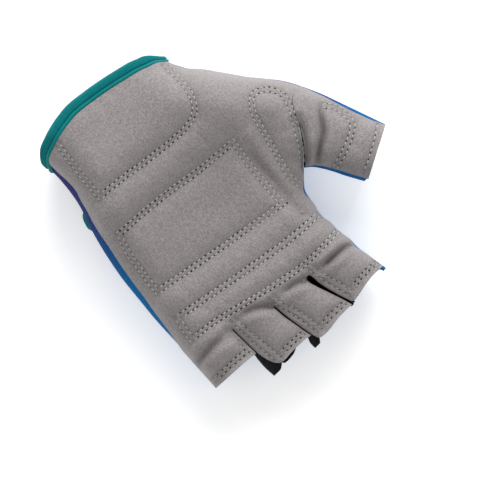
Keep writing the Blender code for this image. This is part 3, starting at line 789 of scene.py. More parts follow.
def finish_material(tree, shader, colour, roughness, height, bump, sheen=0.0, sheen_roughness=0.5,
                    distance=0.0004, specular=0.25):
    tree.links.new(colour, shader.inputs["Base Color"])
    if isinstance(roughness, float):
        shader.inputs["Roughness"].default_value = roughness
    else:
        tree.links.new(roughness, shader.inputs["Roughness"])
    shader.inputs["Specular IOR Level"].default_value = specular
    shader.inputs["Sheen Weight"].default_value = sheen
    shader.inputs["Sheen Roughness"].default_value = sheen_roughness
    made = node(tree, "ShaderNodeBump", {"Strength": bump, "Distance": distance}, {"Height": height})
    tree.links.new(made.outputs["Normal"], shader.inputs["Normal"])


def suede_material(name, light, dark):
    """Napped synthetic suede: short fibres brushed slantwise, with mottled tone, and painted shade in its
    folds and stitched grooves.
    """
    material, tree, shader, place = new_material(name)
    brushed = scaled(tree, place, (1.0, 0.45, 1.0))
    nap = noise(tree, brushed, 2300, 2, 0.6, 0.4)
    mottle = noise(tree, place, 500, 2, 0.5)
    patch = noise(tree, place, 50, 2, 0.5)
    tone = maths(tree, "ADD", maths(tree, "MULTIPLY", nap, 0.85), maths(tree, "MULTIPLY", mottle, 0.08))
    tone = maths(tree, "ADD", tone, maths(tree, "MULTIPLY", patch, 0.07))
    napped = ramp(tree, tone, [(0.38, dark), (0.62, light)])
    # Painted shade: the fold attribute darkens the suede towards this grey in folds and grooves
    fold = node(tree, "ShaderNodeAttribute", attribute_name="fold").outputs["Fac"]
    colour = mix(tree, "MULTIPLY", maths(tree, "MULTIPLY", fold, 0.8), napped, (0.36, 0.34, 0.335))
    rough = mapped(tree, mottle, 0.3, 0.7, 0.82, 0.96)
    height = maths(tree, "ADD", nap, maths(tree, "MULTIPLY", mottle, 0.3))
    finish_material(tree, shader, colour, rough, height, 0.28, 0.3, 0.45)
    return material


def knit(tree, place, pitch):
    """Fine rib of a stretch knit, in two crossed waves."""
    size = 2 * math.pi / pitch
    split = node(tree, "ShaderNodeSeparateXYZ", links={"Vector": place})
    across = maths(tree, "SINE", maths(tree, "MULTIPLY", split.outputs["X"], size), 0.0)
    along = maths(tree, "SINE", maths(tree, "MULTIPLY", split.outputs["Y"], 0.7 * size), 0.0)
    upright = maths(tree, "SINE", maths(tree, "MULTIPLY", split.outputs["Z"], 0.7 * size), 0.0)
    weave = maths(tree, "MULTIPLY", across, maths(tree, "ADD", along, upright))
    return mapped(tree, weave, -1.5, 1.5, 0.0, 1.0), split


def back_material():
    """Stretch knit dyed navy at the wrist and bright blue towards the fingers and the thumb's tip, darker
    towards the thumb's side partly as painted shade.
    """
    material, tree, shader, place = new_material("stretch_back")
    weave, split = knit(tree, place, 0.0007)
    fade = maths(tree, "ADD", split.outputs["Y"], maths(tree, "MULTIPLY", noise(tree, place, 40, 2), 0.006))
    # The x term slants the dye's navy-to-blue line and also darkens the thumb's key-lit side edge: partly
    # dye, partly painted shade
    fade = maths(tree, "ADD", fade, maths(tree, "MULTIPLY", split.outputs["X"], 0.2))
    dyed = ramp(tree, mapped(tree, fade, -0.032, 0.020, 0, 1),
                [(0.0, (0.024, 0.026, 0.150)), (0.35, (0.016, 0.044, 0.190)), (0.75, (0.0, 0.102, 0.300)),
                 (1.0, (0.0, 0.130, 0.350))])
    speck = mapped(tree, noise(tree, place, 900, 2), 0.3, 0.7, 0.82, 1.12)
    shade = mapped(tree, weave, 0, 1, 0.82, 1.08)
    grey = maths(tree, "MULTIPLY", speck, shade)
    combined = node(tree, "ShaderNodeCombineColor", links={"Red": grey, "Green": grey, "Blue": grey})
    colour = mix(tree, "MULTIPLY", 1.0, dyed, combined.outputs["Color"])
    finish_material(tree, shader, colour, 0.7, weave, 0.4, specular=0.03)
    return material


def plain_knit(name, dark, light, pitch=0.0008, roughness=0.7):
    material, tree, shader, place = new_material(name)
    weave, _ = knit(tree, place, pitch)
    speck = noise(tree, place, 1100, 2)
    tone = maths(tree, "ADD", maths(tree, "MULTIPLY", weave, 0.6), maths(tree, "MULTIPLY", speck, 0.4))
    colour = ramp(tree, tone, [(0.2, dark), (0.8, light)])
    finish_material(tree, shader, colour, roughness, weave, 0.4, specular=0.05)
    return material


def elastic_material():
    """Bright teal braided elastic; its ribs are in the mesh, its filaments here."""
    material, tree, shader, place = new_material("teal_elastic")
    fibre = noise(tree, place, 1800, 2, 0.6)
    tone = noise(tree, place, 90, 2)
    colour = ramp(tree, maths(tree, "ADD", maths(tree, "MULTIPLY", fibre, 0.6),
                              maths(tree, "MULTIPLY", tone, 0.4)),
                  [(0.3, (0.0, 0.125, 0.138)), (0.7, (0.004, 0.235, 0.245))])
    finish_material(tree, shader, colour, 0.6, fibre, 0.3, 0.1, 0.3, specular=0.1)
    return material


def thread_material(name, dark, light):
    material, tree, shader, place = new_material(name)
    twist = noise(tree, place, 3000, 1)
    colour = ramp(tree, twist, [(0.3, dark), (0.7, light)])
    finish_material(tree, shader, colour, 0.5, twist, 0.2, 0.2, 0.4)
    return material


def loop_tape_material(name, dark, light, scale):
    material, tree, shader, place = new_material(name)
    fuzz = noise(tree, place, scale, 4, 0.7, 1.0)
    colour = ramp(tree, fuzz, [(0.35, dark), (0.65, light)])
    finish_material(tree, shader, colour, 0.85, fuzz, 0.8, 0.3, 0.6, 0.0008)
    return material


SUEDE = suede_material("grey_suede", (0.325, 0.298, 0.298), (0.205, 0.187, 0.186))
SUEDE_INSIDE = suede_material("suede_inside", (0.30, 0.29, 0.285), (0.22, 0.21, 0.205))
BACK = back_material()
BACK_INSIDE = plain_knit("back_lining", (0.010, 0.009, 0.010), (0.030, 0.028, 0.030))
BLACK = plain_knit("black_stretch", (0.006, 0.005, 0.006), (0.020, 0.018, 0.019))
TEAL = elastic_material()
THREAD = thread_material("sewing_thread", (0.370, 0.390, 0.372), (0.520, 0.545, 0.525))
HEM_THREAD = thread_material("finger_hem_thread", (0.270, 0.283, 0.270), (0.390, 0.405, 0.390))
BLUE_THREAD = thread_material("blue_thread", (0.004, 0.060, 0.170), (0.020, 0.140, 0.330))
NAVY_THREAD = thread_material("navy_thread", (0.030, 0.036, 0.130), (0.075, 0.085, 0.230))
# Near-black painted shade for the needle holes
HOLE_SHADE = plain_knit("needle_hole_shade", (0.016, 0.015, 0.014), (0.032, 0.030, 0.029))
FOAM = loop_tape_material("pad_foam", (0.055, 0.054, 0.053), (0.110, 0.108, 0.105), 900)
HOOK_TAPE = loop_tape_material("hook_tape", (0.006, 0.006, 0.007), (0.030, 0.030, 0.032), 1400)
LOOP_TAPE = loop_tape_material("loop_tape", (0.010, 0.010, 0.012), (0.050, 0.050, 0.055), 900)
WEBBING = plain_knit("strap_webbing", (0.012, 0.014, 0.070), (0.034, 0.040, 0.150), 0.0011, 0.6)


# ---------------------------------------------------------------- panels

def two_block_quads(lower, upper, wrap=0):
    """Quads of a hand grid, whose narrower upper block stands on the little-finger end of its lower one.

    The first wrap points of an upper row turn round the side; on the shared row they fall together."""
    width, columns = len(lower[0]), len(upper[0])
    start = len(lower) * width
    shared = np.arange(start - columns, start)
    shared[:wrap] = shared[wrap]
    index = np.concatenate([shared[None], start + np.arange(len(upper) * columns).reshape(-1, columns)])
    rest = grid_quads(index)
    whole = np.array([len(set(face)) == 4 for face in rest.tolist()])
    return np.concatenate([quads_of(len(lower), width), rest[whole]])


# Cells of each hand panel: up to the fork, above it, across the thumb's mound, and across each finger
PALM_CELLS = (140, 60, 80, (44, 36, 36, 44))
BACK_CELLS = (90, 40, 50, (28, 24, 24, 28))


def palm_panel():
    """The quilted suede over the palm, up to each finger's and the thumb's flex line."""
    coarseness = 1
    *large, fingers = PALM_CELLS
    counts = (*(n // coarseness for n in large), [n // coarseness for n in fingers])
    lower, upper = hand_grid(counts, 1, THUMB_REACH, WEB_REACH, LITTLE_REACH)
    piece = suede_piece("suede_palm", np.concatenate(lower + upper), two_block_quads(lower, upper))
    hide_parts("palm_panel")
    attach(piece, BODY)


# Where the back wraps round onto the palm's side, its steps as shares of how far it reaches
LEFT_WRAP = np.array([1.0, 0.4, 0.01])
RIGHT_WRAP = np.array([0.001, 0.05, 0.2, 0.45, 0.75, 1.0])
LITTLE_OVERLAP = 0.5
BACK_WAVE_HEIGHT, BACK_WAVE_SIZE = 0.10, 6.0


def back_panel():
    """The stretch back, which wraps over the sides up to the suede's edge."""
    lower, upper = hand_grid(BACK_CELLS, -1, NO_REACH, NO_REACH, NO_REACH)
    plans, sides = [], []
    for rows, left_reach in ((lower, THUMB_REACH), (upper, WEB_REACH)):
        for row in rows:
            left_wrap = LEFT_WRAP * (float(smooth_table(left_reach, row[0, 1])) + OVERLAP)
            right_wrap = RIGHT_WRAP * (float(smooth_table(LITTLE_REACH, row[-1, 1])) + LITTLE_OVERLAP)
            left = row[0] + np.stack([left_wrap, 0 * left_wrap], axis=1)
            right = row[-1] - np.stack([right_wrap, 0 * right_wrap], axis=1)
            plans.append(np.concatenate([left, row, right]))
            sides.append(np.concatenate([np.ones(len(left)), -np.ones(len(row)), np.ones(len(right))]))
    plan = np.concatenate(plans)
    quads = two_block_quads(plans[:len(lower)], plans[len(lower):], len(LEFT_WRAP))
    slack = BACK_WAVE_HEIGHT * waves(plan[:, 0], plan[:, 1], BACK_WAVE_SIZE)
    piece = stretch_piece("stretch_back", plan, np.concatenate(sides), quads, slack)
    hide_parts("back_panel")
    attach(piece, BODY)
    return piece


# The back's hem stands this far past the suede's, and further in places: the share across where that starts,
# the width over which it grows, and the millimetres that it adds
BACK_HEM = -0.3
HEM_GROWTH = {"index": (0.08, -0.08, 1.8), "ring": (0.35, 0.35, 1.5)}
# A step so short that it only turns the cloth round its edge
TURN = 0.01
LITTLE_STALL_WRAP = 0.7
STALL_CLOTH = 0.9 * PALM_CLOTH
# Cells of each face: from the flex line to the hem, and across
STALL_SUEDE_CELLS, STALL_STRETCH_CELLS = (40, 40), (24, 26)
THUMB_SUEDE_CELLS, THUMB_STRETCH_CELLS = (84, 66), (40, 36)


def suede_stall_face(name):
    plan = stall_grid(name, *STALL_SUEDE_CELLS, (WEB_REACH, LITTLE_REACH))
    face = suede_piece(f"{name}_suede_face", plan.reshape(-1, 2), quads_of(*plan.shape[:2]), STALL_CLOTH)
    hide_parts(f"{name}_palm_face")
    follow_stall(face)


def stretch_stall_face(name):
    """One finger's back face. The outer fingers' wrap round their free side to meet the suede."""
    rows, columns = STALL_STRETCH_CELLS
    start, width, growth = HEM_GROWTH.get(name, (0, 1, 0))
    extra = BACK_HEM + growth * smooth_step((eased(columns) - start) / width)
    plan = stall_grid(name, rows, columns, (NO_REACH, NO_REACH), extra)
    side = -np.ones(plan.shape[:2])
    palm_side = np.ones((rows + 1, 2))
    if name == "index":
        wrap = np.repeat(plan[:, :1], 2, axis=1)
        wrap[:, 0, 0] += smooth_table(WEB_REACH, wrap[:, 0, 1]) + OVERLAP
        wrap[:, 1, 0] += TURN
        plan = np.concatenate([wrap, plan], axis=1)
        side = np.concatenate([palm_side, side], axis=1)
    if name == "little":
        wrap = plan[:, -1:] - np.array([[[TURN, 0], [LITTLE_STALL_WRAP, 0]]])
        plan = np.concatenate([plan, wrap], axis=1)
        side = np.concatenate([side, palm_side], axis=1)
    back = stretch_piece(f"{name}_stretch_face", plan, side, quads_of(*plan.shape[:2]))
    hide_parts(f"{name}_back_face")
    follow_stall(back)


# The black walls stand this far inside the palm's and the back's skin
WALL_TOP_GAP, WALL_FOOT_GAP = 0.7, 0.6
# They keep this far from the edge and the foot of their slit, and their corners this far from the hem
WALL_EDGE_GAP, WALL_ROOT_GAP, WALL_HEM_GAP = 0.05, 0.2, 0.1
# A side wall's cells, how roundly it bows out, and the ripple of its cloth
WALL_CELLS, WALL_ROUNDNESS, WALL_RIPPLE = (44, 16), 0.7, 0.3
# The directions that a web goes round the foot of a slit, its cells from top to bottom, and its bow
WEB_ANGLES, WEB_CELLS, WEB_BOW = np.radians(np.linspace(175, 365, 21)), 12, 0.8
# How far each side wall's free edge stands out past the suede's hem, half way down
WALL_HEM = {("index", "little"): 1.2, ("middle", "thumb"): 0.6, ("middle", "little"): 2.2,
            ("ring", "thumb"): 0.4, ("ring", "little"): 1.9, ("little", "thumb"): 0.6}


def side_wall(name, facing):
    """A stall's black side wall, which bows out until it nearly meets its neighbour's."""
    inward = 1 if facing == "thumb" else -1
    hem = float(smooth_table(FINGERS[name]["hem"], 0 if facing == "thumb" else 1))
    edges = SLIT_EDGES[name, facing]
    rows, columns = WALL_CELLS
    t = even(columns)[None, :]
    bulge = np.sin(np.pi * t) ** WALL_ROUNDNESS
    low = edges[0][0] + WALL_ROOT_GAP
    past_hem = WALL_HEM[name, facing] * np.minimum(2 * bulge, 1)
    y = low + (hem - WALL_HEM_GAP + past_hem - low) * even(rows)[:, None]
    edge = smooth_table(edges, np.minimum(y, hem))
    plan = np.stack([edge + WALL_EDGE_GAP * inward, np.minimum(y, hem)], axis=2)
    top = skin(plan, 1)[..., 2] - WALL_TOP_GAP
    bottom = skin(plan, -1)[..., 2] + WALL_FOOT_GAP
    x = edge + (smooth_table(WALL_MIDDLE[name, facing], y) - edge) * bulge
    x = x + WALL_RIPPLE * np.sin(2 * np.pi * t)
    outer = np.stack([x, y, top + (bottom - top) * t], axis=2)
    inner = outer + np.array([inward * WALL_CLOTH, 0, 0])
    wall = shell_piece(f"{name}_wall_{facing}_side", outer, inner, quads_of(rows + 1, columns + 1), [BLACK])
    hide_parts(f"{name}_fourchette_{facing}_side")
    follow_stall(wall)


def slit_web(number):
    """The black web folded round the foot of a slit."""
    foot, radius = slit_foot(number)
    away = np.stack([np.cos(WEB_ANGLES), np.sin(WEB_ANGLES)], axis=1)
    plan = foot + (radius + WALL_EDGE_GAP) * away
    top = skin(plan, 1)[:, 2] - WALL_TOP_GAP
    bottom = skin(plan, -1)[:, 2] + WALL_FOOT_GAP
    t = even(WEB_CELLS)[:, None]
    z = top[None, :] + (bottom - top)[None, :] * t
    flat = plan[None] - WEB_BOW * radius * np.sin(np.pi * t)[:, :, None] * away[None]
    outer = np.concatenate([flat, z[:, :, None]], axis=2)
    inner = np.concatenate([flat + WALL_CLOTH * away[None], z[:, :, None]], axis=2)
    web = shell_piece(f"slit_web_{number}", outer, inner, quads_of(*flat.shape[:2]), [BLACK])
    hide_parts(f"slit_gusset_{number}")
    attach(web, BODY)
    return web


THUMB_WRAP = (1.0, 0.4, 0.02)


def thumb_grid(rows, columns, outer_reach, inner_reach, extra=0.0):
    """Plan points of the thumb's stall, from its bowed flex line to its straight hem."""
    fractions = eased(columns)
    bow = crease_bow(fractions)
    outer_foot, inner_foot = THUMB_CREASE[0][1], THUMB_INNER[0][0]
    grid = []
    for v in even(rows):
        left_y = outer_foot + (THUMB_HEM_LEFT_Y + extra - outer_foot) * v
        right_y = inner_foot + (THUMB_HEM_RIGHT_Y + extra - inner_foot) * v
        left = (float(smooth_table(THUMB_SIDE, left_y) + smooth_table(outer_reach, left_y)), left_y)
        right = (float(smooth_table(THUMB_INNER, right_y) - smooth_table(inner_reach, right_y)), right_y)
        grid.append(between(left, right, fractions) + bow * (1 - v) ** 3)
    return np.array(grid)


def thumb_suede():
    plan = thumb_grid(*THUMB_SUEDE_CELLS, THUMB_REACH, INNER_REACH)
    face = suede_piece("thumb_suede_face", plan.reshape(-1, 2), quads_of(*plan.shape[:2]))
    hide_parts("thumb_palm_face")
    follow_stall(face)


def thumb_stretch():
    """The thumb's back face, which wraps round both of its sides."""
    middle = thumb_grid(*THUMB_STRETCH_CELLS, NO_REACH, NO_REACH, extra=BACK_HEM)
    steps = len(THUMB_WRAP)
    left = np.repeat(middle[:, :1], steps, axis=1)
    right = np.repeat(middle[:, -1:], steps, axis=1)
    for column, part in enumerate(THUMB_WRAP):
        left[:, column, 0] += part * (smooth_table(THUMB_REACH, left[:, column, 1]) + OVERLAP)
        right[:, steps - 1 - column, 0] -= part * (smooth_table(INNER_REACH, right[:, column, 1]) + OVERLAP)
    whole = np.concatenate([left, middle, right], axis=1)
    side = np.ones(whole.shape[:2])
    side[:, steps:-steps] = -1
    back = stretch_piece("thumb_stretch_face", whole, side, quads_of(*whole.shape[:2]))
    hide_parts("thumb_back_face")
    follow_stall(back)


# ---------------------------------------------------------------- pads

PADS = {
    "heel_pad": [(-25, 1.5), (20.5, -1), (23, 21.5), (-23.5, 24.5)],
    "centre_pad": [(-25, 46), (30, 40), (35, 64.5), (-22.5, 75)],
    "knuckle_pad": [(-27, 90.5), (37.5, 80.5), (37.5, 87.5), (-27, 98.5)],
    "web_pad": [(-52, 45.5), (-44, 41), (-36.5, 67), (-42.5, 64.5)],
    "thumb_pad": [(-63.5, 63), (-48.5, 74.5), (-51, 80.5), (-66, 74.5)],
}


PAD_CELLS = 28
CORNER_ROUNDING = 0.42
# Depths below the suede: the top's in the middle, its fall to the edge, the base's at the edge, its bulge
PAD_TOP, PAD_TOP_FALL, PAD_BASE, PAD_BASE_BULGE = 1.6, 0.5, 2.3, 1.7


def pad(name, corners):
    """A thin foam pad inside the suede, crowned in the middle and thin at its rounded edge."""
    steps = 2 * even(PAD_CELLS) - 1
    u, v = np.meshgrid(steps, steps)
    round_u = u * np.sqrt(1 - CORNER_ROUNDING * v ** 2 * np.abs(u) ** 3)
    round_v = v * np.sqrt(1 - CORNER_ROUNDING * u ** 2 * np.abs(v) ** 3)
    s, t = (round_u + 1) / 2, (round_v + 1) / 2
    a, b, c, d = (np.array(corner, dtype=float) for corner in corners)
    plan = (a * ((1 - s) * (1 - t))[..., None] + b * (s * (1 - t))[..., None]
            + c * (s * t)[..., None] + d * ((1 - s) * t)[..., None])
    crown = ((1 - u ** 4) * (1 - v ** 4)) ** 0.4
    outer = skin(plan, 1, PAD_TOP + PAD_TOP_FALL * (1 - crown))
    inner = skin(plan, 1, PAD_BASE + PAD_BASE_BULGE * crown)
    piece = shell_piece(name + "_foam", outer, inner, quads_of(*plan.shape[:2]), [FOAM])
    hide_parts(name)
    if name == "thumb_pad":
        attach(piece, "thumb_stall")
    else:
        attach(piece, BODY)


# ---------------------------------------------------------------- wrist binding

# The folded tape's section as (reach past the cuff edge, depth below the skin), round the outside first
BINDING_OUTSIDE = [(0.1, 0.45), (-0.05, 0.0), (0.05, -0.4), (0.35, -0.68), (0.9, -0.78), (1.4, -0.68),
                   (1.66, -0.42), (1.76, 0.05), (1.88, -0.38), (2.15, -0.6), (2.6, -0.7), (3.3, -0.74),
                   (4.0, -0.7), (4.7, -0.48), (5.15, -0.1), (5.35, 0.5), (5.2, 1.2), (4.7, 1.7), (3.7, 1.95),
                   (2.2, 2.05), (0.6, 2.0)]
BINDING_INSIDE = [(0.6, 1.55), (2.2, 1.6), (3.6, 1.5), (4.4, 1.25), (4.8, 0.85), (4.85, 0.45), (4.6, 0.1),
                  (3.8, -0.2), (2.8, -0.2), (2.2, 0.1), (1.75, 0.5), (1.0, 0.1), (0.5, 0.3)]
BINDING_WIDTH = 5.4
RIB_PITCH, RIB_DEPTH, LIP_RIB_DEPTH, LIP_WIDTH = 0.6, 0.15, 0.03, 2.1
# Near the wrist's sides the tape rises or narrows: (x where that starts, over which distance, how much)
LEFT_RISE, LEFT_NARROWING, RIGHT_RISE = (-28.5, -3.4, 0.5), (-25.5, -6.4, 0.42), (29.3, 2.5, 1.7)


def grown(x, start, distance, amount):
    return amount * smooth_step((x - start) / distance)


def round_the_wrist():
    """(fraction across, side) of points that go over the palm's wrist edge and back under the back's."""
    half = 800
    loop = []
    for side in (1, -1):
        t = even(half) if side == 1 else even(half)[::-1][1:-1]
        angle = (1 - np.cos(np.pi * t)) / 2
        fraction = 0.15 * t + 0.85 * angle
        loop.append(np.stack([fraction, np.full_like(t, side)], axis=1))
    return np.concatenate(loop)


def binding():
    """Folded ribbed elastic round the wrist's edge: a narrow lip, a sewn groove and a ribbed band."""
    loop = round_the_wrist()
    x = CUFF_LEFT_X + (CUFF_RIGHT_X - CUFF_LEFT_X) * loop[:, 0]
    narrow = 1 - grown(x, *LEFT_NARROWING)
    y = np.where(loop[:, 1] > 0, cuff_y(x, 1), cuff_y(x, -1))
    base = skin(np.stack([x, y], axis=1), loop[:, 1])
    steps = np.linalg.norm(np.diff(base, axis=0, append=base[:1]), axis=1)
    arc = np.concatenate([[0], np.cumsum(steps)[:-1]])
    ribs = np.round(arc[-1] / RIB_PITCH)
    phase = np.sin(2 * np.pi * ribs * arc / (arc[-1] + steps[-1]))
    rings = []
    for reach, depth in BINDING_OUTSIDE + BINDING_INSIDE:
        low = y - reach * narrow + grown(x, *LEFT_RISE) + grown(x, *RIGHT_RISE) * (1 - reach / BINDING_WIDTH)
        l_edge, r_edge = smooth_table(THUMB_SIDE, low), smooth_table(LITTLE_SIDE, low)
        x_here = l_edge + 0.02 + (r_edge - l_edge - 0.04) * loop[:, 0]
        rib = RIB_DEPTH if reach > LIP_WIDTH else LIP_RIB_DEPTH
        rings.append(skin(np.stack([x_here, low], axis=1), loop[:, 1], depth - rib * phase))
    grid = np.stack(rings, axis=1)
    rows, columns = grid.shape[:2]
    index = np.arange(rows * columns).reshape(rows, columns)
    index = np.concatenate([index, index[:1]])
    index = np.concatenate([index, index[:, :1]], axis=1)
    piece = add_mesh("elastic_binding", grid, grid_quads(index), [TEAL], smooth=80)
    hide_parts("cuff_binding")
    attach(piece, BODY)


# ---------------------------------------------------------------- stitches

STITCH_PITCH, STITCH_LENGTH, THREAD_HALF = 2.22, 1.5, 0.21
STITCH_SLANT, STITCH_SPREAD, STITCH_STRAY = 0.16, 0.13, 0.11
STITCH_ARCH, STITCH_DIP = 0.14, 0.42
# A stitch is this much wider than it is high, and its ends keep this share of its squared thickness
STITCH_FLATNESS, STITCH_END = 1.15, 0.12
ROW_END = 0.6
# Painted shade of a needle hole: its section as (radius, height above the suede), and its least size, in rows
# along the hand, which run along the light
HOLE_SECTION = ((0.56, -0.16), (0.56, 0.05), (0.32, 0.08))
HOLE_OFFSET, HOLE_LEAST = 0.36, 0.42
HOLE_LONG, HOLE_WIDE = 0.95, 0.9
BACK_HEM_INSET, BACK_HEM_GAP = 2.3, 1.6
BACK_HEM_SHARES = np.linspace(0.08, 0.92, 24)


def ring_quads(index):
    """Quads of tubes, whose vertices are numbered by tube, ring and place round the ring."""
    return grid_quads(np.concatenate([index, index[:, :, :1]], axis=2))


def stitch_places(paths):
    """Middle and direction of each stitch; the stitches slant and stray a little, as sewn ones do."""
    spots, turns = [], []
    for number, path in enumerate(paths):
        lengths = lengths_along(path)
        count = max(int((lengths[-1] - ROW_END) / STITCH_PITCH), 1)
        stagger = 0.5 if number % 2 else 0.25
        middles = (np.arange(count) + stagger) * (lengths[-1] / (count + 0.25))
        spots.append(points_at(path, lengths, middles))
        step = points_at(path, lengths, middles + 0.3) - points_at(path, lengths, middles - 0.3)
        turns.append(step / np.linalg.norm(step, axis=1)[:, None])
    spots, turns = np.concatenate(spots), np.concatenate(turns)
    spread = STITCH_SPREAD * np.sin(12.9898 * spots[:, 0] + 78.233 * spots[:, 1])
    stray = STITCH_STRAY * np.sin(39.346 * spots[:, 0] + 11.135 * spots[:, 1])
    spots += spread[:, None] * turns + stray[:, None] * np.stack([-turns[:, 1], turns[:, 0]], axis=1)
    slant = STITCH_SLANT + spread
    turned = np.stack([turns[:, 0] - slant * turns[:, 1], turns[:, 1] + slant * turns[:, 0]], axis=1)
    turned /= np.linalg.norm(turned, axis=1)[:, None]
    return spots, turned


def stitches(name, paths, side=1, material=THREAD, holes=True, above=0.0):
    """Thread dashes along plan paths, each dipping into a needle hole at both ends.

    On the back, above is how far the cloth that they are sewn on stands out from the skin."""
    spots, turned = stitch_places(paths)
    rings, sides = 7, 6
    s = np.linspace(-0.5, 0.5, rings)
    centre = spots[:, None, :] + turned[:, None, :] * (s * STITCH_LENGTH)[None, :, None]
    flat = centre.reshape(-1, 2)
    high = relief_and_painted_shade(flat)[0] if side > 0 else np.full(len(flat), above)
    base = skin(flat, side, -high).reshape(len(spots), rings, 3)
    normal = skin(flat, side, -high - 1.0).reshape(len(spots), rings, 3) - base
    normal /= np.linalg.norm(normal, axis=2)[:, :, None]
    along = np.gradient(base, axis=1)
    along /= np.linalg.norm(along, axis=2)[:, :, None]
    across = np.cross(along, normal)
    arch = STITCH_ARCH - STITCH_DIP * (2 * np.abs(s)) ** 3
    thick = THREAD_HALF * np.sqrt(np.clip(1 - (2 * np.abs(s)) ** 6, STITCH_END, 1))
    points = []
    for k in range(sides):
        angle = 2 * math.pi * k / sides
        points.append(base + normal * (arch + thick * math.sin(angle))[None, :, None]
                      + across * (STITCH_FLATNESS * thick * math.cos(angle))[None, :, None])
    points = np.stack(points, axis=2)
    index = np.arange(points.size // 3).reshape(len(spots), rings, sides)
    caps = [index[:, 0, [0, 1, 2, 3]], index[:, 0, [0, 3, 4, 5]], index[:, -1, [3, 2, 1, 0]],
            index[:, -1, [5, 4, 3, 0]]]
    made = [add_mesh(name, points, np.concatenate([ring_quads(index)] + caps), [material], smooth=80)]
    if holes:
        made.append(needle_holes(name + "_holes", base, normal, along, across))
    return made


def needle_holes(name, base, normal, along, across):
    """Painted shade of the needle holes: dark patches where the thread enters the suede, largest in rows
    across the hand, which lie across the light from the wrist.
    """
    sides = 8
    start = base[:, 0] - along[:, 0] * HOLE_OFFSET
    # The painted shade is drawn largest in rows across the hand, which lie across the light from the wrist
    hole_shade_size = HOLE_LEAST + (1 - HOLE_LEAST) * along[:, 0, :1] ** 2
    points = []
    for reach, height in HOLE_SECTION:
        for k in range(sides):
            angle = 2 * math.pi * k / sides
            points.append(start + normal[:, 0] * height
                          + along[:, 0] * hole_shade_size * reach * HOLE_LONG * math.cos(angle)
                          + across[:, 0] * hole_shade_size * reach * HOLE_WIDE * math.sin(angle))
    points = np.stack(points, axis=1)
    index = np.arange(points.size // 3).reshape(len(start), len(HOLE_SECTION), sides)
    fans = []
    for level, order in ((0, 1), (2, -1)):
        for a in range(1, sides - 2, 2):
            corners = [0, a, a + 1, a + 2][::order]
            fans.append(index[:, level, corners])
    return add_mesh(name, points, np.concatenate([ring_quads(index)] + fans), [HOLE_SHADE])


def sew():
    """The palm's thread, darker on the fingers' hems and sides."""
    for name, paths in ROWS.items():
        thread = HEM_THREAD if name in FINGERS else THREAD
        for piece in stitches(f"{name}_stitching", paths, material=thread):
            if name == "body":
                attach(piece, BODY)
            else:
                follow_stall(piece)


def hem_back():
    """Tonal hem stitching on the back of each stall."""
    rows = {"thumb": [rounded_path(THUMB_BACK_HEM_ROW)]}
    for name, finger in FINGERS.items():
        y = smooth_table(finger["hem"], BACK_HEM_SHARES) - BACK_HEM_INSET
        left, right = stall_edges(name, y, NO_REACH, NO_REACH)
        path = np.stack([left + (right - left) * BACK_HEM_SHARES, y], axis=1)
        rows[name] = [path, path - np.array([0, BACK_HEM_GAP])]
    for name, paths in rows.items():
        thread, = stitches(f"{name}_back_hem", paths, side=-1, material=BLUE_THREAD, holes=False)
        follow_stall(thread)


# ---------------------------------------------------------------- strap

STRAP_Y = (17.0, 36.0)
STRAP_ROOT_X = (-21.0, -12.0)
STRAP_START_X = STRAP_ROOT_X[1]
STRAP_ROWS = 29
# The strap is loose from its root on: a width for peeling it away, and how far inside the outline it ends
PEEL_WIDTH, STRAP_END_ROLL = 7.0, 5.7
# Depths of each piece's inner and outer face, outwards from the back's skin
STRAP_BOTTOM, STRAP_TOP = -2.6, -3.75
ROOT_BOTTOM = -0.3
BOX_STITCH = [(-19.6, 18.6), (-13.4, 18.6), (-13.4, 34.4), (-19.6, 34.4), (-19.6, 18.6), (-13.4, 34.4)]
EDGE_STITCH_X, EDGE_STITCH_Y = (-10.6, 27.5), (18.4, 34.6)
PATCH_STITCH = [(4.2, 20.6), (23.8, 20.6), (23.8, 32.4), (4.2, 32.4), (4.2, 20.6)]
HOOK_X, HOOK_Y, HOOK_DEPTHS = (3, 25), (19.5, 33.5), (-1.5, -2.5)
LOOP_X, LOOP_Y, LOOP_DEPTHS = (-4, 27), (19, 34), (-0.3, -1.2)
TAB_Y, TAB_DEPTHS, TAB_START_ROLL = (22.8, 31.4), (-2.4, -4.25), 6.6
TAB_END_ROLL = [(22.8, 3.5), (24.6, 2.7), (26.5, 2.5), (28.5, 2.6), (31.4, 3.6)]


def band(name, plan, depths, round_off, materials, ribs=0.0):
    """A flat textile band over a plan grid on the back, with rounded long edges."""
    plan = np.asarray(plan, dtype=float)
    rows, columns = plan.shape[:2]
    t = even(rows - 1)[:, None] + 0 * even(columns - 1)[None, :]
    edge = np.minimum(t, 1 - t) * (rows - 1)
    pinch = round_off * np.exp(-(edge / 1.2) ** 2)
    ripple = ribs * np.sin(np.arange(columns) * math.pi / 2)[None, :]
    outer = skin(plan, -1, depths[1] + pinch + ripple)
    inner = skin(plan, -1, depths[0] - pinch)
    return shell_piece(name, outer, inner, quads_of(rows, columns), materials)


def rectangle(x_range, y_range, columns, rows):
    return [[(x, y) for x in np.linspace(*x_range, columns)] for y in np.linspace(*y_range, rows)]


def sewn_root():
    plan = rectangle(STRAP_ROOT_X, STRAP_Y, 20, STRAP_ROWS)
    root = band("sewn_strap_root", plan, (ROOT_BOTTOM, STRAP_TOP), 0.35, [WEBBING])
    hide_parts("strap_root")
    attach(root, BODY)


def peel_away(piece):
    """Bake the piece's placement into its mesh."""
    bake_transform(piece)


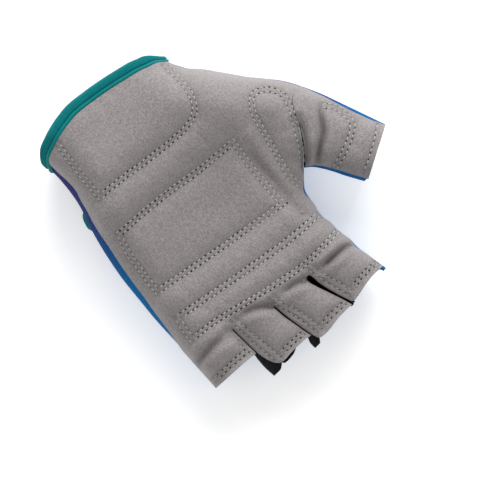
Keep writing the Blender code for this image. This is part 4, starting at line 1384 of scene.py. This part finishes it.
def loose_strap():
    """The strap, whose points crowd towards its end, where it turns up round the hand's side."""
    fractions = 0.35 * even(90) + 0.65 * np.sin(np.pi / 2 * even(90))
    rows = []
    for y in np.linspace(*STRAP_Y, STRAP_ROWS):
        end = float(smooth_table(LITTLE_SIDE, y)) - STRAP_END_ROLL
        rows.append(between((STRAP_START_X, y), (end, y), fractions))
    loose = band("closing_strap", rows, (STRAP_BOTTOM, STRAP_TOP), 0.3, [WEBBING, HOOK_TAPE])
    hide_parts("wrist_strap")
    peel_away(loose)
    return loose


def strap_thread():
    """A crossed box on the root; rows along the loose strap's edges and round the hook patch."""
    box = [between(a, b, even(16)) for a, b in zip(BOX_STITCH, BOX_STITCH[1:])]
    box.append(between(BOX_STITCH[1], BOX_STITCH[3], even(16)))
    on_strap = {"side": -1, "material": NAVY_THREAD, "holes": False, "above": -STRAP_TOP}
    root_thread, = stitches("strap_box_stitch", box, **on_strap)
    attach(root_thread, BODY)
    left_x, right_x = EDGE_STITCH_X
    edges = [between((left_x, y), (right_x, y), even(60)) for y in EDGE_STITCH_Y]
    edges += [between(a, b, even(40)) for a, b in zip(PATCH_STITCH, PATCH_STITCH[1:])]
    loose_thread, = stitches("strap_edge_stitch", edges, **on_strap)
    peel_away(loose_thread)


def hook_and_loop():
    hook = band("hook_patch_face", rectangle(HOOK_X, HOOK_Y, 60, 30), HOOK_DEPTHS, 0.2, [HOOK_TAPE])
    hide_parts("hook_patch")
    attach(hook, "closure_strap")
    loop = band("loop_patch_face", rectangle(LOOP_X, LOOP_Y, 80, 30), LOOP_DEPTHS, 0.25, [LOOP_TAPE])
    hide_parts("loop_patch")
    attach(loop, BODY)


def pull_tab():
    """The teal tab at the strap's end, which shows past the little-finger edge."""
    rows = []
    for y in np.linspace(*TAB_Y, 19):
        edge = float(smooth_table(LITTLE_SIDE, y))
        end = edge - float(smooth_table(TAB_END_ROLL, y))
        rows.append(between((edge - TAB_START_ROLL, y), (end, y), even(48)))
    tab = band("teal_pull_tab", rows, TAB_DEPTHS, 0.6, [TEAL], 0.06)
    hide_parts("pull_tab")
    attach(tab, "closure_strap")
    return tab


def strap():
    sewn_root()
    loose = loose_strap()
    strap_thread()
    hook_and_loop()
    tab = pull_tab()


# ---------------------------------------------------------------- studio

TABLE_HALF_WIDTH, TABLE_GLOW, SKY_STRENGTH = 3.0, 0.36, 0.46
CAMERA_TARGET = (-2.0, 80.0, 18.0)
CAMERA_HEIGHT, LENS, SENSOR = 6.0, 1080.0, 36.0


def white_table():
    """A pale, evenly lit floor just below the glove."""
    mesh = bpy.data.meshes.new("studio_floor")
    corners = [(-1, -1), (1, -1), (1, 1), (-1, 1)]
    points = [(TABLE_HALF_WIDTH * x, TABLE_HALF_WIDTH * y, 0) for x, y in corners]
    mesh.from_pydata(points, [], [(0, 1, 2, 3)])
    material, tree, shader, place = new_material("studio_white")
    tint = ramp(tree, noise(tree, place, 3, 1), [(0.3, (0.93, 0.93, 0.93)), (0.7, (0.95, 0.95, 0.95))])
    tree.links.new(tint, shader.inputs["Base Color"])
    shader.inputs["Roughness"].default_value = 0.9
    shader.inputs["Emission Color"].default_value = (1, 1, 1, 1)
    shader.inputs["Emission Strength"].default_value = TABLE_GLOW
    mesh.materials.append(material)
    floor = bpy.data.objects.new("studio_floor", mesh)
    floor.location = (0, 0, -0.0005)
    bpy.context.scene.collection.objects.link(floor)


def white_sky():
    sky = bpy.data.worlds.new("studio_world")
    sky.use_nodes = True
    background = sky.node_tree.nodes["Background"]
    background.inputs["Color"].default_value = (1, 1, 1, 1)
    background.inputs["Strength"].default_value = SKY_STRENGTH
    bpy.context.scene.world = sky


def area_light(name, place, size, power):
    """A square light that faces the glove."""
    data = bpy.data.lights.new(name, "AREA")
    data.shape = "RECTANGLE"
    data.size, data.size_y = size, size
    data.energy = power
    light = bpy.data.objects.new(name, data)
    light.location = place
    light.rotation_euler = (-Vector(place)).to_track_quat("-Z", "Y").to_euler()
    bpy.context.scene.collection.objects.link(light)


def camera_above():
    """A long lens straight above the palm, with the fingers towards the lower right of the picture."""
    data = bpy.data.cameras.new("camera")
    data.lens, data.sensor_width = LENS, SENSOR
    data.clip_start, data.clip_end = 0.01, 20
    camera = bpy.data.objects.new("camera", data)
    x, y, z = world(*CAMERA_TARGET)
    half = math.sqrt(0.5)
    right, up, back = Vector((-half, half, 0)), Vector((-half, -half, 0)), Vector((0, 0, 1))
    turn = Matrix((right, up, back)).transposed().to_4x4()
    camera.matrix_world = Matrix.Translation((x, y, z + CAMERA_HEIGHT)) @ turn
    bpy.context.scene.collection.objects.link(camera)
    bpy.context.scene.camera = camera


def studio():
    """White lit table, soft light from beyond the wrist and thumb, and a camera straight above."""
    white_table()
    white_sky()
    area_light("key", (-0.88, -0.76, 0.75), 1.0, 20)
    area_light("fill", (0.4, 0.3, 1.3), 1.6, 4.5)
    bpy.context.scene.view_settings.view_transform = "Standard"
    camera_above()


studio()
palm_panel()
for finger in FINGERS:
    suede_stall_face(finger)
    stretch_stall_face(finger)
for stall, facing_side in SLIT_EDGES:
    side_wall(stall, facing_side)
webs = [slit_web(number) for number in (1, 2, 3)]
back = back_panel()
thumb_suede()
thumb_stretch()
for pad_name, pad_corners in PADS.items():
    pad(pad_name, pad_corners)
binding()
sew()
hem_back()
strap()
